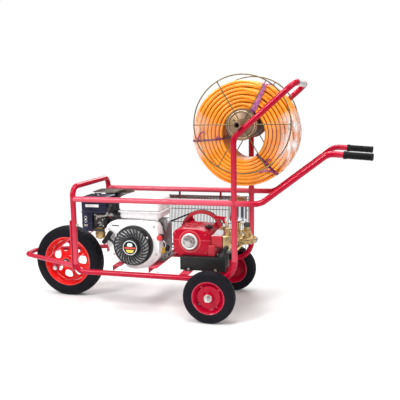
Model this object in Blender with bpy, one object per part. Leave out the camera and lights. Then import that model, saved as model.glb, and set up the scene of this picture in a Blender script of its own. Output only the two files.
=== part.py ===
"""Three-wheeled petrol plunger-pump sprayer cart with a hose reel.

Metres. +X runs to the push handles, +Y to the belt side, +Z up, and the ground is z = 0.
Every function below makes one piece, or one left and right pair, in its working place.
"""
import math

import bmesh
import bpy
from mathutils import Matrix, Vector

# ---- driving dimensions -----------------------------------------------------------------
GAP = 0.0003                      # clearance between pieces that touch

TUBE_R = 0.0143                   # frame tube, 28.6 mm outside
FRAME_Y = 0.22                    # centre planes of the two side frames
LOWER_Z = 0.202                   # lower rails
UPPER_Z = 0.586                   # upper rails
HOOP_Z = 0.648                    # top of the front hoop
FRONT_X = -0.539                  # front posts
POST_X = 0.3135                   # reel posts
POST_BEND_Z = 0.899               # where the reel posts lean back
FRONT_BEND_R = 0.04
REAR_BEND_R = 0.10
TOP_BAR = (0.600, 1.150)          # x, z of the bar that joins the reel posts
TOP_BAR_HALF = 0.165
HANDLE_START = (0.440, UPPER_Z)   # x, z of the three corners of a handle tube
HANDLE_TOP = (0.752, 0.826)
HANDLE_END = (0.9431, 0.8124)
GRIP_LENGTH = 0.131
GRIP_R = 0.0168

FRONT_AXLE = (-0.692, 0.198)      # x, z
FRONT_TYRE_R = 0.198
FRONT_RIM_R = 0.133
RIM_WINDOW = (                        # radius and degrees off the middle, once round
    (0.0575, -10), (0.0575, 10), (0.066, 15.5), (0.081, 16.5), (0.095, 13),
    (0.1, 7), (0.1, -7), (0.095, -13), (0.081, -16.5), (0.066, -15.5),
)
FORK_TUBE_R = 0.0125
FORK_Z = 0.232
NOSE_X = -0.9375                  # centre line of the fork's nose
NOSE_HALF = 0.055
REAR_AXLE = (0.197, 0.130)
REAR_TYRE_R = 0.130
REAR_RIM_R = 0.079
REAR_WHEEL_Y = 0.272
AXLE_R = 0.010
AXLE_END_Y = 0.330

REEL_SHAFT_R = 0.0115
REEL_BUSH_R = 0.0165
REEL_ALONG_POST = 0.056           # from the post's bend to the reel axis, along the leaning tube
REEL_OFF_POST = 0.0295            # and square to it
DRUM_R = 0.070
DRUM_HALF = 0.139
FLANGE_Y = 0.1435
FLANGE_R = 0.236
WIRE_R = 0.003
COIL_IN_R = 0.122                     # half height of the coil's eye
COIL_SQUEEZE = 0.845                  # the eye's width over its height
COIL_RISE = 0.0065                    # how much higher the coil's outside sits than its eye
COIL_OUT_R = 0.2625
COIL_Y = (0.0015, 0.100)

ENGINE_AXIS = (-0.226, 0.346)     # x, z of the engine's crankshaft
PUMP_AXIS = (0.057, 0.366)        # x, z of the pump's crankshaft
HEAD_X = 0.2230                      # where the pump's brass head is bolted on
BELT_Y = 0.125
ENGINE_PITCH_R = 0.028
PUMP_PITCH_R = 0.118
BELT_HALF_DEPTH = 0.004
RAIL_TOP = LOWER_Z + TUBE_R + GAP
ENGINE_BASE = 0.245
PUMP_BASE = 0.292
PUMP_BEAM_TOP = 0.2225

# ---- materials --------------------------------------------------------------------------
FINISHES = {                      # name: (colour, roughness, metallic)
    "frame_red": ((0.61, 0.01, 0.045), 0.30, 0.0),
    "rim_red": ((0.85, 0.01, 0.01), 0.30, 0.0),
    "pump_red": ((0.60, 0.0, 0.03), 0.40, 0.0),
    "tyre": ((0.025, 0.025, 0.028), 0.80, 0.0),
    "grip": ((0.02, 0.02, 0.022), 0.70, 0.0),
    "zinc": ((0.62, 0.60, 0.55), 0.35, 1.0),
    "bronze_zinc": ((0.24, 0.17, 0.07), 0.40, 0.8),
    "hose": ((1.0, 0.37, 0.03), 0.35, 0.0),
    "white": ((0.86, 0.85, 0.82), 0.30, 0.0),
    "black_plastic": ((0.02, 0.022, 0.03), 0.50, 0.0),
    "cast_grey": ((0.35, 0.35, 0.36), 0.50, 0.8),
    "dark_steel": ((0.06, 0.055, 0.05), 0.45, 0.8),
    "brass": ((0.55, 0.38, 0.14), 0.35, 0.9),
    "chrome": ((0.75, 0.76, 0.78), 0.08, 1.0),
    "belt": ((0.012, 0.012, 0.012), 0.80, 0.0),
    "base_black": ((0.012, 0.014, 0.014), 0.45, 0.0),
    "switch_red": ((0.65, 0.03, 0.03), 0.40, 0.0),
}


def finish(name):
    """The Principled material of one finish, made once."""
    if name in bpy.data.materials:
        return bpy.data.materials[name]
    colour, roughness, metallic = FINISHES[name]
    material = bpy.data.materials.new(name)
    material.use_nodes = True
    shader = material.node_tree.nodes["Principled BSDF"]
    shader.inputs["Base Color"].default_value = (*colour, 1.0)
    shader.inputs["Roughness"].default_value = roughness
    shader.inputs["Metallic"].default_value = metallic
    material.diffuse_color = (*colour, 1.0)
    return material


# ---- making shapes ----------------------------------------------------------------------
def publish(name, shape, material, pivot=(0.0, 0.0, 0.0)):
    """Turns a shape in world coordinates into the named object, with its origin at pivot."""
    bmesh.ops.remove_doubles(shape, verts=shape.verts, dist=1e-6)
    bmesh.ops.recalc_face_normals(shape, faces=shape.faces)
    shape.transform(Matrix.Translation(-Vector(pivot)))
    mesh = bpy.data.meshes.new(name)
    shape.to_mesh(mesh)
    shape.free()
    mesh.materials.append(finish(material))
    mesh.shade_smooth()
    mesh.set_sharp_from_angle(angle=math.radians(35))
    part = bpy.data.objects.new(name, mesh)
    part.location = pivot
    bpy.context.scene.collection.objects.link(part)
    return part


def across(axis):
    """Two unit vectors square to axis, the second nearest to +Z."""
    axis = Vector(axis).normalized()
    up = Vector((0, 0, 1)) if abs(axis.z) < 0.9 else Vector((1, 0, 0))
    second = (up - axis * up.dot(axis)).normalized()
    return second.cross(axis), second


def turned(profile, centre, axis, steps=24, flat_down=False):
    """Turns (along, radius) pairs about an axis. A profile off the axis closes on itself.

    With flat_down the facets, not the corners, touch the radius, and one facet faces down."""
    shape = bmesh.new()
    axis = Vector(axis).normalized()
    u, v = across(axis)
    centre = Vector(centre)
    shift = 0.5 if flat_down else 0.0
    grow = 1.0 / math.cos(math.pi / steps) if flat_down else 1.0
    angles = [2 * math.pi * (k + shift) / steps + math.pi / 2 for k in range(steps)]
    rings = []
    for along, radius in profile:
        spot = centre + axis * along
        if radius == 0:
            rings.append([shape.verts.new(spot)])
            continue
        reach = radius * grow
        rings.append([shape.verts.new(spot + (u * math.cos(t) + v * math.sin(t)) * reach) for t in angles])
    pairs = list(zip(rings, rings[1:]))
    if profile[0][1] > 0 and profile[-1][1] > 0:
        pairs.append((rings[-1], rings[0]))
    for first, second in pairs:
        for k in range(steps):
            corners = [first[k % len(first)], first[(k + 1) % len(first)]]
            corners += [second[(k + 1) % len(second)], second[k % len(second)]]
            shape.faces.new(list(dict.fromkeys(corners)))
    bmesh.ops.recalc_face_normals(shape, faces=shape.faces)
    return shape


def rod(start, end, radius, sides=12):
    """A round bar from start to end."""
    start, end = Vector(start), Vector(end)
    length = (end - start).length
    return turned([(0, 0), (0, radius), (length, radius), (length, 0)], start, end - start, sides)


def rounded(corners, segments=3):
    """The centre line through (point, bend radius) corners, with its bends as arcs."""
    points = [Vector(corners[0][0])]
    for (before, _), (corner, radius), (after, _) in zip(corners, corners[1:], corners[2:]):
        corner = Vector(corner)
        back = (Vector(before) - corner).normalized()
        on = (Vector(after) - corner).normalized()
        half = back.angle(on) / 2
        reach = radius / math.tan(half)
        centre = corner + (back + on).normalized() * radius / math.sin(half)
        first = corner + back * reach - centre
        last = corner + on * reach - centre
        turn = first.angle(last)
        for k in range(segments + 1):
            share = k / segments
            arm = first * math.sin((1 - share) * turn) + last * math.sin(share * turn)
            points.append(centre + arm / math.sin(turn))
    points.append(Vector(corners[-1][0]))
    return points


def tube(points, radius, sides=12, closed=False):
    """A round section swept along points without twisting."""
    shape = bmesh.new()
    count = len(points)
    points = [Vector(p) for p in points]
    normal = None
    rings = []
    for k, spot in enumerate(points):
        before = points[k - 1] if k or closed else spot
        after = points[(k + 1) % count] if k < count - 1 or closed else spot
        into = (spot - before).normalized() if (spot - before).length else (after - spot).normalized()
        out = (after - spot).normalized() if (after - spot).length else into
        along = (into + out).normalized()
        if normal is None:
            normal = across(into)[1]
        normal = (normal - into * normal.dot(into)).normalized()
        side = into.cross(normal)
        ring = []
        for j in range(sides):
            angle = 2 * math.pi * j / sides
            arm = (normal * math.cos(angle) + side * math.sin(angle)) * radius
            arm -= into * arm.dot(along) / into.dot(along)
            ring.append(shape.verts.new(spot + arm))
        rings.append(ring)
    pairs = list(zip(rings, rings[1:]))
    if closed:
        pairs.append((rings[-1], rings[0]))
    else:
        shape.faces.new(rings[0])
        shape.faces.new(rings[-1])
    for first, second in pairs:
        for j in range(sides):
            shape.faces.new([first[j], first[(j + 1) % sides], second[(j + 1) % sides], second[j]])
    bmesh.ops.recalc_face_normals(shape, faces=shape.faces)
    return shape


def slab(outline, low, high, place):
    """An outline of (a, b) pairs pulled from low to high; place(a, b, c) gives the point."""
    shape = bmesh.new()
    first = [shape.verts.new(place(a, b, low)) for a, b in outline]
    second = [shape.verts.new(place(a, b, high)) for a, b in outline]
    shape.faces.new(first)
    shape.faces.new(second)
    for k in range(len(outline)):
        n = (k + 1) % len(outline)
        shape.faces.new([first[k], first[n], second[n], second[k]])
    bmesh.ops.recalc_face_normals(shape, faces=shape.faces)
    return shape


def side_plate(outline, y_low, y_high):
    """A slab whose outline is in X and Z."""
    return slab(outline, y_low, y_high, lambda a, b, c: (a, c, b))


def end_plate(outline, x_low, x_high):
    """A slab whose outline is in Y and Z."""
    return slab(outline, x_low, x_high, lambda a, b, c: (c, a, b))


def block(low, high, bevel=0.0, segments=2):
    """A box between two corners, with its edges rounded if bevel is given."""
    x0, y0, z0 = low
    x1, y1, z1 = high
    shape = side_plate([(x0, z0), (x1, z0), (x1, z1), (x0, z1)], y0, y1)
    if bevel:
        bmesh.ops.bevel(
            shape, geom=list(shape.edges), offset=bevel, segments=segments, profile=0.5, affect="EDGES"
        )
    return shape


def combined(base, others, operation="UNION"):
    """Adds the other shapes to base, or cuts them from it, with exact Booleans."""
    made = []
    for shape in [base, *others]:
        mesh = bpy.data.meshes.new("shape")
        bmesh.ops.recalc_face_normals(shape, faces=shape.faces)
        shape.to_mesh(mesh)
        shape.free()
        holder = bpy.data.objects.new("shape", mesh)
        bpy.context.scene.collection.objects.link(holder)
        made.append(holder)
    for cutter in made[1:]:
        step = made[0].modifiers.new("step", "BOOLEAN")
        step.operation = operation
        step.object = cutter
    bpy.context.view_layer.update()
    result = bmesh.new()
    result.from_object(made[0], bpy.context.evaluated_depsgraph_get())
    for holder in made:
        mesh = holder.data
        bpy.data.objects.remove(holder)
        bpy.data.meshes.remove(mesh)
    bmesh.ops.dissolve_degenerate(result, dist=1e-6, edges=result.edges)
    return result


def both_sides():
    """Names and signs of the two sides: left is -Y, right is +Y."""
    return (("left", -1), ("right", 1))


# ---- frame ------------------------------------------------------------------------------
def reel_axis():
    """x and z of the reel's shaft, which sits in a bush on the leaning part of the posts."""
    foot = Vector((POST_X, POST_BEND_Z))
    lean = (Vector(TOP_BAR) - foot).normalized()
    square = Vector((-lean.y, lean.x))
    spot = foot + lean * REEL_ALONG_POST + square * REEL_OFF_POST
    return spot.x, spot.y


def make_rails():
    hoop = [
        ((FRONT_X, -FRAME_Y, LOWER_Z + FRONT_BEND_R + GAP), 0),
        ((FRONT_X, -FRAME_Y, HOOP_Z), 0.05),
        ((FRONT_X, FRAME_Y, HOOP_Z), 0.05),
        ((FRONT_X, FRAME_Y, LOWER_Z + FRONT_BEND_R + GAP), 0),
    ]
    publish("front_hoop", tube(rounded(hoop), TUBE_R), "frame_red")
    for side, sign in both_sides():
        y = sign * FRAME_Y
        lower = [
            ((FRONT_X, y, LOWER_Z + FRONT_BEND_R), 0),
            ((FRONT_X, y, LOWER_Z), FRONT_BEND_R - GAP),
            ((POST_X, y, LOWER_Z), REAR_BEND_R - GAP),
            ((POST_X, y, LOWER_Z + REAR_BEND_R), 0),
        ]
        publish(f"lower_rail_{side}", tube(rounded(lower), TUBE_R), "frame_red")
        inset = TUBE_R + GAP
        upper = rod((FRONT_X + inset, y, UPPER_Z), (POST_X - inset, y, UPPER_Z), TUBE_R)
        publish(f"upper_rail_{side}", upper, "frame_red")


def make_reel_posts():
    axis_x, axis_z = reel_axis()
    for side, sign in both_sides():
        y = sign * FRAME_Y
        route = [
            ((POST_X, y, LOWER_Z + REAR_BEND_R + GAP), 0),
            ((POST_X, y, POST_BEND_Z), 0.06),
            ((TOP_BAR[0], y, TOP_BAR[1]), 0.045),
            ((TOP_BAR[0], sign * TOP_BAR_HALF, TOP_BAR[1]), 0),
        ]
        post = tube(rounded(route), TUBE_R)
        barrel = [(-0.030, 0), (-0.030, REEL_BUSH_R), (0.025, REEL_BUSH_R), (0.025, 0)]
        bush = turned(barrel, (axis_x, y, axis_z), (0, -sign, 0), 20)
        bore = rod((axis_x, y - 0.06, axis_z), (axis_x, y + 0.06, axis_z), REEL_SHAFT_R + GAP, 20)
        post = combined(combined(post, [bush]), [bore], "DIFFERENCE")
        publish(f"reel_post_{side}", post, "frame_red")
    reach = TOP_BAR_HALF - GAP
    bar = rod((TOP_BAR[0], -reach, TOP_BAR[1]), (TOP_BAR[0], reach, TOP_BAR[1]), TUBE_R)
    publish("reel_top_bar", bar, "zinc")


def make_handles():
    run = Vector((HANDLE_END[0] - HANDLE_TOP[0], 0, HANDLE_END[1] - HANDLE_TOP[1])).normalized()
    for side, sign in both_sides():
        y = sign * FRAME_Y
        route = [
            ((POST_X + TUBE_R + GAP, y, UPPER_Z), 0),
            ((HANDLE_START[0], y, HANDLE_START[1]), 0.09),
            ((HANDLE_TOP[0], y, HANDLE_TOP[1]), 0.07),
            ((HANDLE_END[0], y, HANDLE_END[1]), 0),
        ]
        publish(f"handle_tube_{side}", tube(rounded(route), TUBE_R), "frame_red")
        bore = TUBE_R + GAP
        cup = [
            (0.006, 0), (0.006, GRIP_R - 0.003), (0.003, GRIP_R), (0.006 - GRIP_LENGTH, GRIP_R),
            (0.006 - GRIP_LENGTH, bore), (GAP, bore), (GAP, 0),
        ]
        grip = turned(cup, (HANDLE_END[0], y, HANDLE_END[1]), run, 16)
        publish(f"grip_{side}", grip, "grip")


def angle_bar(x, width, z_low, z_high, sheet=0.004):
    """A cross member of angle section that lies on both lower rails."""
    outline = [(x, z_low), (x + sheet, z_low), (x + sheet, z_high - sheet)]
    outline += [(x + width, z_high - sheet), (x + width, z_high), (x, z_high)]
    return side_plate(outline, -FRAME_Y, FRAME_Y)


def make_cross_members():
    top = ENGINE_BASE - GAP
    publish("engine_beam_front", angle_bar(-0.332, 0.045, RAIL_TOP, top), "frame_red")
    publish("engine_beam_rear", angle_bar(-0.135, 0.045, RAIL_TOP, top), "frame_red")
    pump_top = PUMP_BEAM_TOP
    publish("pump_beam_front", angle_bar(0.035, 0.045, RAIL_TOP, pump_top), "frame_red")
    cheek_out = FRAME_Y - TUBE_R - GAP
    cheek_in = cheek_out - 0.005
    cheek_low = REAR_AXLE[1] - 0.022
    outline = [
        (-cheek_out, cheek_low), (-cheek_in, cheek_low), (-cheek_in, pump_top - 0.005),
        (cheek_in, pump_top - 0.005), (cheek_in, cheek_low), (cheek_out, cheek_low),
        (cheek_out, RAIL_TOP), (FRAME_Y, RAIL_TOP), (FRAME_Y, pump_top),
        (-FRAME_Y, pump_top), (-FRAME_Y, RAIL_TOP), (-cheek_out, RAIL_TOP),
    ]
    bracket = end_plate(outline, REAR_AXLE[0] - 0.016, REAR_AXLE[0] + 0.016)
    bore = rod(
        (REAR_AXLE[0], -0.3, REAR_AXLE[1]), (REAR_AXLE[0], 0.3, REAR_AXLE[1]), AXLE_R + GAP, 16
    )
    publish("axle_bracket", combined(bracket, [bore], "DIFFERENCE"), "frame_red")


def make_front_fork():
    """The loop round the front wheel, its two bolted-on bars, its stays and its axle lugs."""
    bar_x = FRONT_X - TUBE_R - GAP
    bar_sheet = 0.005
    root_x = bar_x - bar_sheet / 2
    route = [
        ((root_x, -FRAME_Y, FORK_Z), 0),
        ((NOSE_X, -NOSE_HALF, FORK_Z), 0.05),
        ((NOSE_X, NOSE_HALF, FORK_Z), 0.05),
        ((root_x, FRAME_Y, FORK_Z), 0),
    ]
    fork = tube(rounded(route), FORK_TUBE_R)
    extras = []
    for _, sign in both_sides():
        y = sign * FRAME_Y
        extras.append(block((bar_x - bar_sheet, y - 0.015, 0.200), (bar_x, y + 0.015, 0.474)))
        share = (FRONT_AXLE[0] - root_x) / (NOSE_X - root_x)
        lug_y = sign * (FRAME_Y + (NOSE_HALF - FRAME_Y) * share)
        lug_low = (FRONT_AXLE[0] - 0.020, lug_y - 0.004, FRONT_AXLE[1] - 0.018)
        lug_high = (FRONT_AXLE[0] + 0.020, lug_y + 0.004, FORK_Z)
        extras.append(block(lug_low, lug_high))
        stay_share = 0.50
        foot_y = sign * (FRAME_Y + (NOSE_HALF - FRAME_Y) * stay_share)
        foot = (root_x + (NOSE_X - root_x) * stay_share, foot_y, FORK_Z + 0.008)
        extras.append(rod((bar_x - 0.003, y - sign * 0.008, 0.385), foot, 0.003, 6))
    bore = rod((FRONT_AXLE[0], -0.3, FRONT_AXLE[1]), (FRONT_AXLE[0], 0.3, FRONT_AXLE[1]), 0.0083, 12)
    fork = combined(combined(fork, extras), [bore], "DIFFERENCE")
    publish("front_fork", fork, "frame_red")
    reach = 0.172
    axle = rod((FRONT_AXLE[0], -reach, FRONT_AXLE[1]), (FRONT_AXLE[0], reach, FRONT_AXLE[1]), 0.008)
    publish("front_axle", axle, "zinc")


# ---- wheels -----------------------------------------------------------------------------
def tyre_profile(inner_r, outer_r, half, tread_half):
    """(along, radius) pairs round a tyre's section, from one bead to the other."""
    height = outer_r - inner_r
    side = [(half * 0.82, inner_r), (half, inner_r + height * 0.45), (half * 0.86, outer_r - height * 0.18)]
    side.append((tread_half, outer_r))
    return [(-a, r) for a, r in side] + [(a, r) for a, r in reversed(side)]


def make_front_wheel():
    pivot = (FRONT_AXLE[0], 0.0, FRONT_AXLE[1])
    profile = tyre_profile(FRONT_RIM_R + GAP, FRONT_TYRE_R, 0.040, 0.014)
    tyre = turned(profile, pivot, (0, 1, 0), 30, flat_down=True)
    publish("front_tyre", tyre, "tyre", pivot)
    hub_r, hub_half, bore = 0.027, 0.048, 0.0083
    section = [
        (-hub_half, bore), (-hub_half, hub_r), (-0.004, hub_r + 0.006), (-0.004, 0.118),
        (-0.032, 0.123), (-0.032, FRONT_RIM_R), (0.032, FRONT_RIM_R), (0.032, 0.123),
        (0.004, 0.118), (0.004, hub_r + 0.006), (hub_half, hub_r), (hub_half, bore),
    ]
    rim = turned(section, pivot, (0, 1, 0), 30, flat_down=True)
    windows = []
    for k in range(7):
        outline = []
        for out, turn in RIM_WINDOW:
            angle = math.radians(360 / 7 * k + 4 + turn)
            outline.append((pivot[0] + out * math.cos(angle), pivot[2] + out * math.sin(angle)))
        windows.append(side_plate(outline, -0.02, 0.02))
    publish("front_rim", combined(rim, windows, "DIFFERENCE"), "rim_red", pivot)


def make_rear_wheels():
    for side, sign in both_sides():
        pivot = (REAR_AXLE[0], sign * REAR_WHEEL_Y, REAR_AXLE[1])
        outward = (0, sign, 0)
        profile = tyre_profile(REAR_RIM_R + GAP, REAR_TYRE_R, 0.029, 0.014)
        tyre = turned(profile, pivot, outward, 24, flat_down=True)
        publish(f"rear_tyre_{side}", tyre, "tyre", pivot)
        bore = AXLE_R + GAP
        section = [
            (-0.024, bore), (-0.024, 0.019), (0.000, 0.024), (0.004, 0.060), (-0.023, 0.070),
            (-0.023, REAR_RIM_R), (0.023, REAR_RIM_R), (0.023, 0.070), (0.010, 0.064),
            (0.006, 0.026), (0.026, 0.021), (0.026, bore),
        ]
        publish(f"rear_rim_{side}", turned(section, pivot, outward, 24, flat_down=True), "frame_red", pivot)
        face = REAR_WHEEL_Y + 0.026 + GAP
        seat = Vector((pivot[0], sign * face, pivot[2]))
        washer = turned([(0, 0), (0, 0.020), (0.0025, 0.020), (0.0025, 0)], seat, outward, 20)
        nut = turned([(0.002, 0), (0.002, 0.0165), (0.016, 0.0165), (0.016, 0)], seat, outward, 6)
        through = rod(seat - Vector(outward) * 0.01, seat + Vector(outward) * 0.03, bore, 16)
        publish(f"axle_nut_{side}", combined(combined(washer, [nut]), [through], "DIFFERENCE"), "zinc")
    ends = [(REAR_AXLE[0], s * AXLE_END_Y, REAR_AXLE[1]) for s in (-1, 1)]
    publish("rear_axle", rod(ends[0], ends[1], AXLE_R, 16), "zinc")


# ---- hose reel --------------------------------------------------------------------------
def make_reel():
    x, z = reel_axis()
    pivot = (x, 0.0, z)
    shaft_half = 0.2465
    shaft = rod((x, -shaft_half, z), (x, shaft_half, z), REEL_SHAFT_R, 20)
    publish("reel_shaft", shaft, "dark_steel", pivot)
    bore = REEL_SHAFT_R + GAP
    sheet = 0.002
    shell = [
        (-DRUM_HALF, bore), (-DRUM_HALF, DRUM_R), (DRUM_HALF, DRUM_R), (DRUM_HALF, bore),
        (DRUM_HALF - sheet, bore), (DRUM_HALF - sheet, DRUM_R - sheet),
        (sheet - DRUM_HALF, DRUM_R - sheet), (sheet - DRUM_HALF, bore),
    ]
    publish("reel_drum", turned(shell, pivot, (0, 1, 0), 20), "bronze_zinc", pivot)
    for side, sign in both_sides():
        face = DRUM_HALF + GAP
        disc = [(face, bore), (face, 0.076), (face + 0.0025, 0.076), (face + 0.0025, bore)]
        flange = turned(disc, pivot, (0, sign, 0), 16)
        centre = Vector((x, sign * FLANGE_Y, z))
        wires = []
        for ring_r, steps in ((FLANGE_R, 24), (0.0645, 16)):
            turn = [2 * math.pi * (k + 0.5) / steps for k in range(steps)]
            ring = [centre + Vector((math.cos(t), 0, math.sin(t))) * ring_r for t in turn]
            wires.append(tube(ring, WIRE_R, 6, closed=True))
        lift = Vector((0, sign * 0.0004, 0))
        for k in range(6):
            out = Vector((math.cos(k * math.pi / 3), 0, math.sin(k * math.pi / 3)))
            wires.append(rod(centre + out * 0.030 - lift, centre + out * (FLANGE_R - 0.0005) - lift, 0.0024, 6))
        publish(f"reel_flange_{side}", combined(flange, wires), "bronze_zinc", pivot)
        hang = DRUM_R + 0.0005 - COIL_IN_R
        inner, outer = sorted((sign * COIL_Y[0], sign * COIL_Y[1]))
        ring = [(inner, COIL_IN_R), (inner, COIL_OUT_R), (outer, COIL_OUT_R), (outer, COIL_IN_R)]
        spot = (x, 0.0, z + hang)
        coil = turned(ring, spot, (0, 1, 0), 28)
        for corner in coil.verts:
            if math.hypot(corner.co.x - x, corner.co.z - spot[2]) < (COIL_IN_R + COIL_OUT_R) / 2:
                corner.co.x = x + (corner.co.x - x) * COIL_SQUEEZE
            else:
                corner.co.z += COIL_RISE
        publish(f"hose_coil_{side}", coil, "hose", pivot)


# ---- engine -----------------------------------------------------------------------------
def make_engine():
    x, z = ENGINE_AXIS
    crankcase = block((x - 0.092, -0.090, ENGINE_BASE), (x + 0.132, 0.075, 0.440), 0.012)
    cylinder = block((x - 0.192, -0.065, 0.350), (x - 0.072, 0.060, 0.460), 0.010)
    body = combined(crankcase, [cylinder])
    bore = rod((x, 0.030, z), (x, 0.100, z), 0.0098, 16)
    publish("engine_block", combined(body, [bore], "DIFFERENCE"), "cast_grey")
    cover = [
        (-0.112, 0.122), (-0.150, 0.095), (-0.160, 0.035), (-0.148, -0.030), (-0.110, -0.082),
        (-0.072, -0.100), (0.088, -0.100), (0.116, -0.086), (0.130, -0.030), (0.136, 0.020),
        (0.153, 0.026), (0.153, 0.058), (0.133, 0.066), (0.124, 0.100), (0.092, 0.122),
    ]
    outline = [(x + a, z + b) for a, b in cover]
    publish("fan_cover", side_plate(outline, -0.165, -0.090 - GAP), "white")
    dome = [(0, 0), (0, 0.104), (0.038, 0.104), (0.060, 0.088), (0.068, 0.050), (0.068, 0)]
    recoil = turned(dome, (x, -0.165 - GAP, z), (0, -1, 0), 32)
    publish("recoil_cover", recoil, "black_plastic")
    shaft = rod((x, 0.030 + GAP, z), (x, 0.148, z), 0.0095, 16)
    publish("engine_crankshaft", shaft, "dark_steel", (x, 0.0, z))


def make_starter_handle():
    """The T grip of the recoil starter, which draws out up and forward."""
    middle = Vector((-0.370, -0.186, 0.384))
    pull = Vector((-0.807, 0, 0.590)).normalized()
    along = Vector((pull.z, 0, -pull.x))
    half = 0.041
    grip = rod(middle - along * half, middle + along * half, 0.0095, 10)
    stem = rod(middle - pull * 0.040, middle, 0.0055, 8)
    publish("starter_handle", combined(grip, [stem]), "black_plastic", middle)


def make_fuel_and_air():
    tank = block((-0.340, -0.122, 0.4705), (-0.100, 0.085, 0.586), 0.018)
    publish("fuel_tank", tank, "white")
    cap_spot = (-0.222, -0.020, 0.586 + GAP)
    cap = turned([(0, 0), (0, 0.031), (0.014, 0.031), (0.018, 0.026), (0.018, 0)], cap_spot, (0, 0, 1), 20)
    publish("fuel_cap", cap, "white", cap_spot)
    upper = block((-0.544, -0.125, 0.499), (-0.400, 0.005, 0.583), 0.008)
    lower = block((-0.547, -0.120, 0.392), (-0.486, -0.040, 0.510), 0.005)
    publish("air_cleaner", combined(upper, [lower]), "black_plastic")
    body = block((-0.4845, -0.110, 0.4100), (-0.4195, -0.055, 0.498), 0.005)
    bowl = turned([(0, 0), (0, 0.020), (0.006, 0.026), (0.064, 0.026), (0.064, 0)],
                  (-0.456, -0.085, 0.352), (0, 0, 1), 16)
    publish("carburettor", combined(body, [bowl]), "brass")
    muffler = block((-0.510, 0.0605, 0.440), (-0.345, 0.155, 0.575), 0.018)
    publish("muffler", muffler, "dark_steel")


def lever(name, pivot, tip, thickness, finish_name, width=0.008):
    """A flat hand lever with round ends, from its pivot to its tip, facing -Y."""
    start, end = Vector(pivot), Vector(tip)
    along = (end - start).normalized()
    across_bar = Vector((-along.z, 0, along.x))
    outline = []
    for centre, turn in ((start, math.pi / 2), (end, -math.pi / 2)):
        for k in range(7):
            angle = turn + math.pi * k / 6
            spot = centre + (along * math.cos(angle) + across_bar * math.sin(angle)) * width / 2
            outline.append((spot.x, spot.z))
    publish(name, side_plate(outline, start.y - thickness, start.y), finish_name, pivot)


def make_controls():
    lever("fuel_lever", (-0.446, -0.112, 0.437), (-0.470, -0.112, 0.421), 0.006, "black_plastic", 0.010)
    lever("choke_lever", (-0.452, -0.112, 0.470), (-0.412, -0.112, 0.479), 0.006, "black_plastic", 0.010)
    lever("throttle_lever", (-0.385, -0.137, 0.502), (-0.368, -0.137, 0.538), 0.005, "cast_grey", 0.010)
    x, z = ENGINE_AXIS[0] + 0.138, 0.388
    knob = [(0, 0), (0, 0.0145), (0.010, 0.0145), (0.014, 0.011), (0.014, 0)]
    spot = (x, -0.165 - GAP, z)
    publish("engine_switch", turned(knob, spot, (0, -1, 0), 16), "switch_red", spot)


# ---- belt drive -------------------------------------------------------------------------
def grooved(pitch_r, hub_r, bore, web):
    """The section of a V pulley: rim with its groove, web and hub, about its mid plane."""
    half = 0.013
    rim_r = pitch_r + 0.0025
    floor_r = pitch_r - BELT_HALF_DEPTH - 0.004
    inner_r = floor_r - 0.006
    section = [
        (-0.015, bore), (-0.015, hub_r), (-web, hub_r), (-web, inner_r), (-half, inner_r),
        (-half, rim_r), (-0.0075, rim_r), (-0.0045, floor_r), (0.0045, floor_r), (0.0075, rim_r),
        (half, rim_r), (half, inner_r), (web, inner_r), (web, hub_r), (0.015, hub_r), (0.015, bore),
    ]
    return section


def make_pulleys():
    x, z = ENGINE_AXIS
    pivot = (x, BELT_Y, z)
    small = [
        (-0.014, 0.0098), (-0.014, 0.0305), (-0.0075, 0.0305), (-0.0045, 0.019), (0.0045, 0.019),
        (0.0075, 0.0305), (0.014, 0.0305), (0.014, 0.0098),
    ]
    publish("engine_pulley", turned(small, pivot, (0, 1, 0), 24), "dark_steel", pivot)
    x, z = PUMP_AXIS
    pivot = (x, BELT_Y, z)
    wheel = turned(grooved(PUMP_PITCH_R, 0.026, 0.0123, 0.005), pivot, (0, 1, 0), 28)
    inner, outer, half_spoke = 0.040, 0.098, math.radians(17)
    windows = []
    for k in range(3):
        middle = math.radians(80 + 120 * k)
        low, high = middle - math.radians(60) + half_spoke, middle + math.radians(60) - half_spoke
        outline = []
        for radius, order in ((outer, range(5)), (inner, range(4, -1, -1))):
            for j in order:
                angle = low + (high - low) * j / 4
                outline.append((x + radius * math.cos(angle), z + radius * math.sin(angle)))
        windows.append(side_plate(outline, BELT_Y - 0.02, BELT_Y + 0.02))
    publish("pump_pulley", combined(wheel, windows, "DIFFERENCE"), "pump_red", pivot)
    shaft = rod((x, 0.0, z), (x, 0.146, z), 0.012, 16)
    publish("pump_crankshaft", shaft, "dark_steel", (x, 0.0, z))


def make_belt():
    """The V belt: two arcs and two straight runs, of trapezium section."""
    small, large = Vector(ENGINE_AXIS), Vector(PUMP_AXIS)
    line = large - small
    lean = math.atan2(line.y, line.x)
    spread = math.asin((PUMP_PITCH_R - ENGINE_PITCH_R) / line.length)
    arcs = (
        (small, ENGINE_PITCH_R, lean + math.pi / 2 + spread, math.pi - 2 * spread, 10),
        (large, PUMP_PITCH_R, lean - math.pi / 2 - spread, math.pi + 2 * spread, 24),
    )
    path = []
    for centre, radius, start, sweep, steps in arcs:
        for k in range(steps + 1):
            angle = start + sweep * k / steps
            out = Vector((math.cos(angle), math.sin(angle)))
            path.append((centre + out * radius, out))
    section = ((-0.0055, BELT_HALF_DEPTH), (0.0055, BELT_HALF_DEPTH),
               (0.0040, -BELT_HALF_DEPTH), (-0.0040, -BELT_HALF_DEPTH))
    shape = bmesh.new()
    rings = []
    for spot, out in path:
        ring = []
        for across_belt, deep in section:
            edge = spot + out * deep
            ring.append(shape.verts.new((edge.x, BELT_Y + across_belt, edge.y)))
        rings.append(ring)
    for first, second in zip(rings, rings[1:] + rings[:1]):
        for j in range(4):
            shape.faces.new([first[j], first[(j + 1) % 4], second[(j + 1) % 4], second[j]])
    publish("drive_belt", shape, "belt")


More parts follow.
